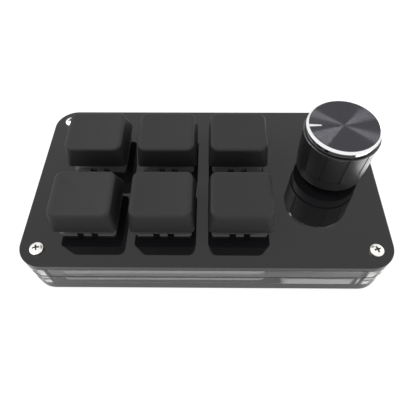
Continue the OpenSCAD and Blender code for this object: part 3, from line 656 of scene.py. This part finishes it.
# Bright tin sits on each pin as a small fluted cone, shiny in places and dull in others.
tin = textured("bright_solder", "#c9cacb", 0.8 * MM, (0.2, 0.45), {"Metallic": 1.0}, 2.0)
cone = [(0, -0.95), (0.3, -0.95), (0.42, -0.7), (0.58, -0.35), (0.95, -0.05), (0.95, 0), (0, 0)]
cone_steps = 24
cone_angles = [2 * math.pi * s / cone_steps for s in range(cone_steps)]
joint = turned("solder_joint", [(r * MM, z * MM) for r, z in cone], cone_angles)


def joined(name, meshes):
    """Several meshes as one, with the materials of the first."""
    whole = bmesh.new()
    for mesh in meshes:
        whole.from_mesh(mesh)
    result = bpy.data.meshes.new(name)
    whole.to_mesh(result)
    whole.free()
    for material in meshes[0].materials:
        result.materials.append(material)
    return result


pins = [(2.54 * MM, 5.08 * MM), (-3.81 * MM, -2.54 * MM)]
key_middle = (key_spots[2] + key_spots[5]) / 2
key_values = {"Width": 2 * (key_spots[2].x - key_spots[1].x), "Depth": key_spots[1].y - key_spots[4].y,
              "Columns": 3, "Rows": 2, "Turn": 0.0, "Seed": 1, "Material": tin}
pair = joined("solder_pair", [at(joint.copy(), x, y, 0) for x, y in pins])
made = at(grown("key_solder", pair, set_out, key_values), key_middle.x, key_middle.y, board_low.z)
put("key_solder", made, None, "root")

# Board parts. Diodes, resistors and capacitors in moulded epoxy, and the controller with its formed leads.
# They are soldered under the board and keep their solids. The diodes' ends are set out by Geometry Nodes.

# Moulded epoxy is a dull black with the fine grain of its mould.
epoxy = textured("moulded_epoxy", "#1c1b1b", 0.1 * MM, None, {"Roughness": 0.55, "IOR": 1.55}, 2.0,
                 relief=(0.3, 0.01 * MM))
dress(epoxy, "board_parts", "usb_tongue")
break_edges(0.05 * MM, "board_parts")

# The controller's body is dull black. Whatever stands out beyond the body is its tinned leads.
chip, tree, shader, place = new_material("controller_epoxy_and_leads")
body_half = 3.51 * MM
off = add(tree, "ShaderNodeVectorMath", {1: middle("controller_chip")}, {0: place}, operation="SUBTRACT")
away = add(tree, "ShaderNodeVectorMath", links={0: off.outputs[0]}, operation="ABSOLUTE")
parts = add(tree, "ShaderNodeSeparateXYZ", links={0: away.outputs[0]})
farthest = calc(tree, "MAXIMUM", parts.outputs["X"], parts.outputs["Y"])
lead = calc(tree, "GREATER_THAN", farthest, body_half)
tint = banded(tree, lead, [(0, "#1a1a1b"), (1, "#c9cacb")])
gloss = add(tree, "ShaderNodeMapRange", {"To Min": 0.55, "To Max": 0.3}, {"Value": lead})
finish(shader, {}, {"Base Color": tint, "Metallic": lead, "Roughness": gloss.outputs["Result"]})
dress(chip, "controller_chip")

end_w = 0.5 * MM
end_d = 1.5 * MM
end_r = 0.1 * MM
end_h = 0.9 * MM
diode_half = 1.5 * MM
diode_front = 5.4 * MM
end = prism("tinned_end", rounded(0, 0, end_w, end_d, end_r, 3), -end_h, 0)
pair = joined("tinned_ends", [at(end.copy(), x, 0, 0) for x in (-diode_half, diode_half)])
diode_y = key_middle.y - diode_front
made = at(grown("diode_ends", pair, set_out, key_values), key_middle.x, diode_y, board_low.z)
put("diode_ends", made, None, "root")

# Flat cable. Five round wires side by side in grey vinyl, from one board down to the other.
# It is one ribbon with a scalloped section, swept along its route.

# Ribbon vinyl is a flat grey with a soft, uneven sheen.
ribbon_vinyl = textured("grey_ribbon_vinyl", "#8f9295", 1.5 * MM, (0.38, 0.55), {"IOR": 1.53})
wires = 5
wire_points = 6
slope_points = 12
half_t = 0.29 * MM
web_share = 0.55
upper_z = cable_high.z - half_t
lower_z = cable_low.z + half_t
start_bend = window_right - 1.5 * MM
end_bend = bay_left + 5 * MM
route = [(cable_low.x, upper_z)]
for k in range(slope_points + 1):
    t = k / slope_points
    route.append((start_bend + (end_bend - start_bend) * t, upper_z + (lower_z - upper_z) * t))
route.append((cable_high.x, lower_z))


def ribbon_section(x, z):
    """The scalloped outline of the ribbon at one point of its route."""
    points = []
    for side in (1, -1):
        for wire in range(wires):
            for k in range(wire_points):
                a = math.pi * k / wire_points
                across = (wire + 0.5 - 0.5 * math.cos(a)) / wires
                across = across if side > 0 else 1 - across
                thick = half_t * (web_share + (1 - web_share) * math.sin(a))
                points.append((x, cable_low.y + (cable_high.y - cable_low.y) * across, z + side * thick))
    return points


mesh = lofted("ribbon", [ribbon_section(x, z) for x, z in route])
put("ribbon", mesh, ribbon_vinyl, "root", ["link_cable"], sharp=50)

# Data socket. A drawn stainless shell round a black tongue, with gold contacts on both of its sides.
# The shell and the tongue keep their solids. The contacts are set out by Geometry Nodes.

# Stamped stainless is a grey mirror with fine lines along the way it was drawn.
stainless = textured("stamped_stainless", "#c8cacc", 0.08 * MM, (0.2, 0.42), {"Metallic": 1.0},
                     stretch=(1, 0.05, 1))
dress(stainless, "usb_shell", "encoder_cover", "encoder_washer", "encoder_nut")
break_edges(0.06 * MM, "encoder_cover", "encoder_washer")
break_edges(0.3 * MM, "encoder_nut")

# Gold plate is a deep yellow, polished where the plug has rubbed it.
gold = textured("gold_plated_contact", "#e0b25a", 0.4 * MM, (0.15, 0.35), {"Metallic": 1.0})
contact_w = 0.26 * MM
contact_l = 3.6 * MM
contact_r = 0.1 * MM
contact_half = 0.38 * MM
contact_in = 3.2 * MM
row_w = 5.5 * MM
bar = prism("contact_bar", rounded(0, 0, contact_w, contact_l, contact_r, 3), -contact_half, contact_half)
contact_values = {"Width": row_w, "Depth": 0.0, "Columns": 12, "Rows": 1, "Turn": 0.0, "Seed": 1,
                  "Material": gold}
made = at(grown("tongue_contacts", bar, set_out, contact_values), socket_x, shell_high.y - contact_in,
          (shell_low.z + shell_high.z) / 2)
put("tongue_contacts", made, None, "root")

# Key switches. Nylon housings, each with a collar on the sheet and two latch notches front and rear.
# Housings, stems and contacts keep their solids, with the collars' edges broken as a mould leaves them.

# Moulded nylon is a mid grey here, a little glossy over a fine grain.
nylon = textured("moulded_nylon", "#6e6e70", 0.12 * MM, None, {"Roughness": 0.35, "IOR": 1.53}, 2.0,
                 relief=(0.3, 0.012 * MM))
collars = [f"switch_base_{i}" for i in KEYS]
dress(nylon, "encoder_base", *collars, *[f"switch_cover_{i}" for i in KEYS])
break_edges(0.08 * MM, *collars)

# Acetal stems are brown, smooth and a little waxy.
acetal = textured("moulded_acetal", "#7a4a35", 2.5 * MM, (0.28, 0.42),
                  {"IOR": 1.48, "Subsurface Weight": 0.05}, 2.0)
dress(acetal, *[f"stem_{i}" for i in KEYS])

# Phosphor bronze is reddish and bright, with duller patches.
bronze = textured("phosphor_bronze", "#c08a5a", 0.5 * MM, (0.2, 0.4), {"Metallic": 1.0})
dress(bronze, "leaf_contacts", "fixed_contacts", "encoder_pins")

# Return springs. Stainless wire wound by Geometry Nodes, with a closed turn at each end.

# Spring wire is grey and bright, with the faint marks of the die.
wire_steel = textured("spring_wire", "#bfc1c3", 0.1 * MM, (0.18, 0.32), {"Metallic": 1.0}, 2.0)

# Winds one wire, which rises by its own thickness in the first and the last turn and freely between them.
coil, given = geometry_tree("coil", {"Radius": "Float", "Wire": "Float", "Turns": "Float", "Height": "Float",
                                     "Material": "Material"})
spiral = add(coil, "GeometryNodeCurveSpiral", {"Resolution": 32, "Height": 0.0},
             {"Rotations": given.outputs["Turns"], "Start Radius": given.outputs["Radius"],
              "End Radius": given.outputs["Radius"]})
along = add(coil, "GeometryNodeSplineParameter")
turns = calc(coil, "MULTIPLY", along.outputs["Factor"], given.outputs["Turns"])
last = calc(coil, "SUBTRACT", given.outputs["Turns"], 1.0)
room = calc(coil, "MULTIPLY", given.outputs["Wire"], -2.0)
free = calc(coil, "ADD", given.outputs["Height"], room)
first_rise = add(coil, "ShaderNodeMapRange", {"From Min": 0.0, "From Max": 1.0},
                 {"Value": turns, "To Max": given.outputs["Wire"]})
main_rise = add(coil, "ShaderNodeMapRange", {"From Min": 1.0},
                {"Value": turns, "From Max": last, "To Max": free})
last_rise = add(coil, "ShaderNodeMapRange",
                links={"Value": turns, "From Min": last, "From Max": given.outputs["Turns"],
                       "To Max": given.outputs["Wire"]})
rise = calc(coil, "ADD", first_rise.outputs[0], main_rise.outputs[0])
rise = calc(coil, "ADD", rise, last_rise.outputs[0])
lift = add(coil, "ShaderNodeCombineXYZ", links={"Z": rise})
wound = add(coil, "GeometryNodeSetPosition",
            links={"Geometry": spiral.outputs["Curve"], "Offset": lift.outputs["Vector"]})
half = calc(coil, "MULTIPLY", given.outputs["Wire"], 0.5)
section = add(coil, "GeometryNodeCurvePrimitiveCircle", {"Resolution": 12}, {"Radius": half})
wire = add(coil, "GeometryNodeCurveToMesh", {"Fill Caps": True},
           {"Curve": wound.outputs["Geometry"], "Profile Curve": section.outputs["Curve"]})
end_tree(coil, given, wire.outputs["Mesh"])

spring_low, spring_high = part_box("spring_1")
spring_h = spring_high.z - spring_low.z
spring_r = (spring_high.x - spring_low.x) / 2
wire_d = 0.3 * MM
coils = 8.0
form = grown("coil", bpy.data.meshes.new("empty"), coil,
             {"Radius": spring_r - wire_d / 2, "Wire": wire_d, "Turns": coils, "Height": spring_h - wire_d,
              "Material": wire_steel})
for i in KEYS:
    x, y = key_spots[i].xy
    mesh = at(form.copy(), x, y, spring_low.z + wire_d / 2)
    piece = put(f"coil_{i}", mesh, None, "root", [f"spring_{i}"])
    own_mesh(piece)

# Keycaps. Matt black plastic with a fine moulded grain, a dished top and soft edges.
# The skin is lofted from rounded outlines, with the room inside and the boss that grips the stem.

# Matt plastic is a soft black, with a grain that spreads the light.
cap_plastic = textured("matt_abs", "#191919", 0.18 * MM, None, {"Roughness": 0.58, "IOR": 1.48}, 2.0,
                       relief=(0.35, 0.02 * MM))

cap_low, cap_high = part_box("keycap_1")
cap_w = cap_high.x - cap_low.x
cap_d = cap_high.y - cap_low.y
top_w = 16.8 * MM
top_d = 14.9 * MM
shift = 1.0 * MM
skirt_r = 1.2 * MM
corner_r = 2.4 * MM
edge_r = 0.9 * MM
slope = 0.4 * MM
dish = 0.5 * MM
front_z = cap_high.z - slope
wall = 0.9 * MM
roof_w = top_w - 2.2 * wall
roof_d = top_d - 2.2 * wall
roof_z = plate_high.z + 10.35 * MM
roof_shift = 0.8 * shift
boss_r = 2.75 * MM
boss_z = plate_high.z + 6.8 * MM
boss_root = 0.05 * MM
cross_reach = 2.08 * MM
cross_arm = 0.655 * MM
wall_steps = 10
edge_steps = 6
top_steps = 9


def ring(made, w, d, r, cy, height):
    """One loop of vertices round a rounded rectangle, where height gives z at each point."""
    return [made.verts.new((x, y, height(x, y))) for x, y in rounded(0, cy, w, d, r, 10)]


def cap_surface(x, y):
    """Height of the dished top over a point."""
    along = (y + shift + top_d / 2) / top_d
    across = min(abs(x) / (top_w / 2 - edge_r), 1)
    return front_z + slope * along - dish * (1 - across ** 2)


def keycap_mesh():
    """The hollow cap: its drafted walls, rounded edge and dished top, and the room inside."""
    made = bmesh.new()
    loops = []
    for k in range(wall_steps + 1):
        t = k / wall_steps
        w = cap_w + (top_w - cap_w) * t
        d = cap_d + (top_d - cap_d) * t
        r = skirt_r + (corner_r - skirt_r) * t
        loops.append(ring(made, w, d, r, -shift * t,
                          lambda x, y: cap_low.z + (cap_surface(x, y) - edge_r - cap_low.z) * t))
    for k in range(1, edge_steps + 1):
        a = math.radians(90 * k / edge_steps)
        inset = edge_r * (1 - math.cos(a))
        loops.append(ring(made, top_w - 2 * inset, top_d - 2 * inset, corner_r - inset, -shift,
                          lambda x, y: cap_surface(x, y) - edge_r * (1 - math.sin(a))))
    for k in range(1, top_steps):
        t = 1 - k / top_steps
        loops.append(ring(made, (top_w - 2 * edge_r) * t, (top_d - 2 * edge_r) * t, (corner_r - edge_r) * t,
                          -shift, cap_surface))
    for a, b in zip(loops, loops[1:]):
        bridge(made, a, b)
    hub = made.verts.new((0, -shift, cap_surface(0, -shift)))
    last = loops[-1]
    for i in range(len(last)):
        made.faces.new([last[i], last[(i + 1) % len(last)], hub])
    mouth = ring(made, cap_w - 2 * wall, cap_d - 2 * wall, skirt_r / 2, 0, lambda x, y: cap_low.z)
    roof = ring(made, roof_w, roof_d, corner_r / 2, -roof_shift, lambda x, y: roof_z)
    bridge(made, mouth, loops[0])
    bridge(made, roof, mouth)
    made.faces.new(roof)
    return sealed(made, "keycap")


boss = cut_sheet("boss", circle(0, 0, boss_r, 48), [cross_outline(cross_reach, cross_arm)], boss_z,
                 roof_z + boss_root, 0.0)
cap_form = joined("keycap", [keycap_mesh(), boss])
for i in KEYS:
    mesh = at(cap_form.copy(), key_spots[i].x, key_spots[i].y, 0)
    put(f"cap_{i}", mesh, cap_plastic, f"key_{i}", [f"keycap_{i}"])

# Encoder. A zinc bushing through the sheet, a shaft with a flat, and a snap dome below.
# The dome is turned here. The bushing, shaft, rotor, plunger and base keep their solids.

# Die-cast zinc is a warm grey, grained and uneven in its gloss.
zinc = textured("die_cast_zinc", "#b5b3ac", 0.3 * MM, (0.28, 0.5), {"Metallic": 1.0}, 4.0,
                relief=(0.3, 0.01 * MM))
dress(zinc, "encoder_bushing")

# A turned shaft is pale and bright, with fine lines round it.
turned_shaft = textured("turned_aluminium_shaft", "#cfd0d1", 0.1 * MM, (0.2, 0.38), {"Metallic": 1.0},
                        stretch=(0.05, 0.05, 1))
dress(turned_shaft, "encoder_shaft")
break_edges(0.15 * MM, "encoder_shaft")

# Undyed nylon is ivory, and lets a little light in.
ivory = textured("natural_nylon", "#d9d4c6", 1.2 * MM, (0.35, 0.5),
                 {"IOR": 1.53, "Subsurface Weight": 0.08}, 2.0)
dress(ivory, "encoder_plunger", "encoder_rotor")

dome_low, dome_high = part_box("encoder_dome")
dome_r = (dome_high.x - dome_low.x) / 2
dome_h = dome_high.z - dome_low.z
dome_t = 0.15 * MM
dome_steps = 12
bow = 1.35
foot = math.cos(bow * math.pi / 2)
outside = [(dome_r * math.sin(a), dome_h * (math.cos(a * bow) - foot) / (1 - foot))
           for a in [math.pi / 2 * k / dome_steps for k in range(dome_steps + 1)]]
inside = [(r * (1 - dome_t / dome_r), max(z - dome_t, 0)) for r, z in reversed(outside)]
mesh = at(turned("snap_dome", outside + inside[1:]), knob_spot.x, knob_spot.y, dome_low.z)
piece = put("snap_dome", mesh, stainless, "root", ["encoder_dome"])
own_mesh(piece)

# Knob body. Turned aluminium lacquered black, wider at its top, with a collar, twelve upright grooves
# and a neck under the cap. It is spun on columns that follow the grooves, so that each is a real one.

# Black lacquer is deep and glossy, with the slight unevenness of a sprayed coat.
lacquer = textured("black_lacquer", "#1c1c1d", 0.9 * MM, (0.3, 0.36), {"IOR": 1.9}, 2.0)

body_low, body_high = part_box("knob_body")
cap_foot, cap_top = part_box("knob_cap")
insert_low, insert_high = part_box("knob_insert")
top_r = (body_high.x - body_low.x) / 2
low_r = top_r - 0.4 * MM
collar_r = top_r - 0.7 * MM
neck_r = collar_r - 0.5 * MM
spigot_r = collar_r - 1.2 * MM
neck_h = 0.5 * MM
collar_z = body_low.z + 3.5 * MM
foot_z = collar_z + neck_h
rim_z = cap_foot.z - neck_h
rim_edge = 0.03 * MM
foot_edge = 0.24 * MM
room_r = 7.8 * MM
room_z = insert_low.z + 1 * MM
fit = 0.02 * MM
hub_r = (insert_high.x - insert_low.x) / 2 + fit
grooves = 12
groove_step = 2 * math.pi / grooves
groove_half = 0.16 * MM / top_r
groove_reach = 1.05 * groove_half
groove_edge = 1.5 * groove_half
groove_depth = 0.25 * MM
side_r = low_r - 0.1 * MM
plain_steps = 16


def grooved(radius, height, angle):
    """The body's radius, less the depth of a groove where one runs."""
    off = (angle + groove_step / 2) % groove_step - groove_step / 2
    side = side_r < radius and foot_z - hair < height < rim_z + hair
    return radius - groove_depth if side and abs(off) < groove_reach else radius


columns = []
for n in range(grooves):
    groove = groove_step * n
    columns += [groove - groove_edge, groove - groove_half, groove + groove_half, groove + groove_edge]
    columns += [groove + groove_edge + (groove_step - 2 * groove_edge) * k / plain_steps
                for k in range(1, plain_steps)]
profile = [(0, body_high.z), (spigot_r, body_high.z), (spigot_r, cap_foot.z), (neck_r, cap_foot.z),
           (neck_r, rim_z), (top_r - rim_edge, rim_z), (top_r, rim_z - rim_edge), (low_r, foot_z),
           (neck_r, foot_z), (neck_r, collar_z), (collar_r, collar_z)]
profile += arc(collar_r - foot_edge, body_low.z + foot_edge, foot_edge, 0, -90, 4)
profile += [(room_r, body_low.z), (room_r, room_z), (hub_r, room_z), (hub_r, insert_high.z),
            (0, insert_high.z)]
mesh = at(turned("knob_shell", profile, columns, grooved), knob_spot.x, knob_spot.y, 0)
put("knob_shell", mesh, lacquer, "knob", ["knob_body"])

# Knob hub. A moulded plastic insert, pressed into the knob, that grips the flat of the shaft.
# It keeps its solid.

# The hub's plastic is black and half glossy, with a fine grain.
hub_plastic = textured("moulded_hub", "#232324", 0.2 * MM, None, {"Roughness": 0.45, "IOR": 1.53}, 2.0,
                       relief=(0.3, 0.01 * MM))
dress(hub_plastic, "knob_insert")

# Knob cap. Dark anodised aluminium, its face turned in fine rings, with a polished bevel and a white mark.
# The rings are real waves in the face, which make the bright wedges turn up in the light.
# Real rings are finer. These are as coarse as the render needs.

# Spun aluminium is a dark mirror, broken up by its rings.
spun, tree, shader, place = new_material("dark_spun_aluminium")
tooth_pitch = 2 * MM
axis = add(tree, "ShaderNodeVectorMath", {1: knob_spot}, {0: place}, operation="SUBTRACT")
tooth = add(tree, "ShaderNodeTexWave", {"Scale": 1 / tooth_pitch, "Distortion": 0.4, "Detail": 2.0},
            {"Vector": axis.outputs["Vector"]}, wave_type="RINGS", rings_direction="Z")
gloss = add(tree, "ShaderNodeMapRange", {"To Min": 0.1, "To Max": 0.16}, {"Value": tooth.outputs["Fac"]})
finish(shader, {"Base Color": linear("#4a4a4e"), "Metallic": 1.0}, {"Roughness": gloss.outputs["Result"]})
# A diamond-cut bevel is a clean bright mirror.
polished = textured("polished_aluminium", "#f4f4f5", 0.5 * MM, (0.04, 0.1), {"Metallic": 1.0})
# Enamel is a flat, slightly uneven white.
enamel = textured("white_enamel", "#f6f6f4", 0.7 * MM, (0.25, 0.4), {"IOR": 1.5}, 2.0)

cap_r = (cap_top.x - cap_foot.x) / 2
bevel = 0.6 * MM
lip = 0.12 * MM
face_r = cap_r - bevel
bevel_z = cap_top.z - bevel
plug_r = spigot_r + fit
ring_pitch = 0.16 * MM
wave = 0.0213 * MM
face_drop = 0.02 * MM
land = 0.05 * MM
per_ring = 8
face_steps = int(face_r / ring_pitch) * per_ring
profile = [(0, body_high.z), (plug_r, body_high.z), (plug_r, cap_foot.z), (cap_r - lip, cap_foot.z),
           (cap_r - lip, bevel_z - 1.5 * lip), (cap_r, bevel_z - 0.5 * lip), (cap_r, bevel_z),
           (face_r, cap_top.z), (face_r - land, cap_top.z)]
for k in range(face_steps):
    depth = face_drop + wave * (1 - math.cos(2 * math.pi * k / per_ring))
    profile.append(((face_r - 2 * land) * (1 - k / face_steps), cap_top.z - depth))
profile.append((0, cap_top.z - face_drop))


def bevel_or_face(face):
    """The bevel and the side of the cap are polished, and the rest is as turned."""
    return int(math.hypot(face.center.x, face.center.y) > face_r and face.center.z > cap_foot.z)


mark_far = face_r - 0.02 * MM
mark_near = mark_far - 3.4 * MM
mark_half = 0.45 * MM
mark_tip = 0.22 * MM
mark_depth = 0.15 * MM
mark_outline = [(-mark_far, mark_half), (-mark_far, -mark_half)]
mark_outline += arc(-mark_near - mark_tip, 0, mark_tip, -80, 80, 8)
disc = turned("knob_disc", profile)
pointer = prism("pointer", mark_outline, cap_top.z - mark_depth, cap_top.z)
paint(disc, (spun, polished, enamel), bevel_or_face)
paint(pointer, (spun, polished, enamel), lambda face: 2)
mesh = at(joined("knob_disc", [disc, pointer]), knob_spot.x, knob_spot.y, 0)
put("knob_disc", mesh, None, "knob", ["knob_cap"])

# Camera. It stands close in front of the keypad and looks down on it, with its frame all but level.
# Its place and angles follow the outline in the photograph, and so does its focal length, in pixels.
camera_spot = Vector((1.44, -73.61, 112.30)) * MM
yaw, pitch, roll = (math.radians(a) for a in (-0.92, 56.79, -0.53))
picture = 416
focal = 392.75


def facing(spot, right, up, back):
    """The matrix of a thing at a spot whose axes run these three ways."""
    return Matrix.Translation(spot) @ Matrix((right, up, back)).transposed().to_4x4()


forward = Vector((math.sin(yaw) * math.cos(pitch), math.cos(yaw) * math.cos(pitch), -math.sin(pitch)))
right = forward.cross(Vector((0, 0, 1))).normalized()
up = right.cross(forward)
lens = bpy.data.cameras.new("camera")
lens.sensor_width = 36
lens.lens = lens.sensor_width * focal / picture
lens.clip_start = 5 * MM
lens.clip_end = 20
camera = show("camera", lens)
camera.matrix_world = facing(camera_spot, right * math.cos(roll) + up * math.sin(roll),
                             up * math.cos(roll) - right * math.sin(roll), -forward)
bpy.context.scene.camera = camera

# Floor. A pale matt sheet under the feet. To the camera and in mirrors it glows by itself,
# so that it looks white there and keeps a trace of the object's shadow.


def looked_at(tree):
    """Whether a ray is the camera's own, and whether it is that, a mirror's or a clear piece's."""
    rays = add(tree, "ShaderNodeLightPath").outputs
    mirrored = calc(tree, "MAXIMUM", rays["Is Glossy Ray"], rays["Is Transmission Ray"])
    return rays["Is Camera Ray"], calc(tree, "MAXIMUM", mirrored, rays["Is Camera Ray"])


floor_half = 3
sheet = bpy.data.meshes.new("floor")
sheet.from_pydata([(x * floor_half, y * floor_half, 0) for x, y in ((-1, -1), (1, -1), (1, 1), (-1, 1))],
                  [], [(0, 1, 2, 3)])
floor = show("floor", sheet)
pale = bpy.data.materials.new("pale_floor")
pale.use_nodes = True
tree = pale.node_tree
tree.nodes.clear()
direct, seen = looked_at(tree)
level = add(tree, "ShaderNodeMapRange", {"To Min": 0.5, "To Max": 0.92}, {"Value": direct})
share = add(tree, "ShaderNodeMapRange", {"To Min": 0.45, "To Max": 0.2}, {"Value": direct})
matt = add(tree, "ShaderNodeBsdfDiffuse", {"Color": (0.8, 0.8, 0.8, 1)})
part = add(tree, "ShaderNodeBsdfDiffuse", links={"Color": share.outputs["Result"]})
glow = add(tree, "ShaderNodeEmission", {"Color": (1, 1, 1, 1)}, {"Strength": level.outputs["Result"]})
both = add(tree, "ShaderNodeAddShader", links={0: part.outputs[0], 1: glow.outputs[0]})
mix = add(tree, "ShaderNodeMixShader", links={0: seen, 1: matt.outputs[0], 2: both.outputs[0]})
add(tree, "ShaderNodeOutputMaterial", links={"Surface": mix.outputs[0]})
sheet.materials.append(pale)

# Light. A white studio all round, and two soft boxes that raise the wedges on the disc, with their images
# beside the plate. A lamp with a grid hangs low over the floor at the right and lights nothing else,
# and the knob mirrors that floor.
world = bpy.data.worlds.new("studio")
bpy.context.scene.world = world
world.use_nodes = True
tree = world.node_tree
tree.nodes.clear()
level = add(tree, "ShaderNodeMapRange", {"To Min": 0.7, "To Max": 1.0}, {"Value": looked_at(tree)[1]})
sky = add(tree, "ShaderNodeBackground", {"Color": (1, 1, 1, 1)}, {"Strength": level.outputs["Result"]})
add(tree, "ShaderNodeOutputWorld", links={"Surface": sky.outputs[0]})


def soft_box(name, shape, spot, aim, power, size, long_way=None):
    """An area lamp at a spot that looks at its aim. A rectangle also needs its length and its long way."""
    lamp = bpy.data.lights.new(name, "AREA")
    lamp.shape = shape
    lamp.size = size[0]
    if long_way:
        lamp.size_y = size[1]
    lamp.energy = power
    back = (spot - aim).normalized()
    along = long_way - back * long_way.dot(back) if long_way else back.orthogonal()
    along.normalize()
    box = show(name, lamp)
    box.matrix_world = facing(spot, along.cross(back), along, back)
    return box


def wedge_spot(turn, tilt, distance):
    """Where a lamp must stand to show on the disc in one direction, off grooves that lean by a tilt."""
    view = (camera_spot - disc_spot).normalized()
    a, t = math.radians(turn), math.radians(tilt)
    lean = Vector((math.cos(a) * math.sin(t), math.sin(a) * math.sin(t), math.cos(t)))
    return disc_spot + (2 * view.dot(lean) * lean - view) * distance


disc_spot = Vector((knob_spot.x, knob_spot.y, cap_top.z))
strip_tilt = 36
strip_away = 1.5
strip_w = 0.12
near = wedge_spot(-129, strip_tilt, strip_away)
far = wedge_spot(-166, strip_tilt, strip_away)
strip = far - near
soft_box("strip", "RECTANGLE", (near + far) / 2, disc_spot, power=5.0, size=(strip_w, strip.length),
         long_way=strip)
side_spot = wedge_spot(turn=-32, tilt=27, distance=0.8)
soft_box("side", "DISK", side_spot, disc_spot, power=0.5, size=(0.28,))
wash_foot = Vector((0.172, 0, 0))
wash_spot = wash_foot + Vector((0, 0, 0.06))
wash = soft_box("floor_wash", "RECTANGLE", wash_spot, wash_foot, power=1.4, size=(0.2, 0.3),
                long_way=Vector((0, 1, 0)))
wash.data.spread = math.radians(30)
wash.visible_camera = False

bpy.context.scene.view_settings.view_transform = "Standard"
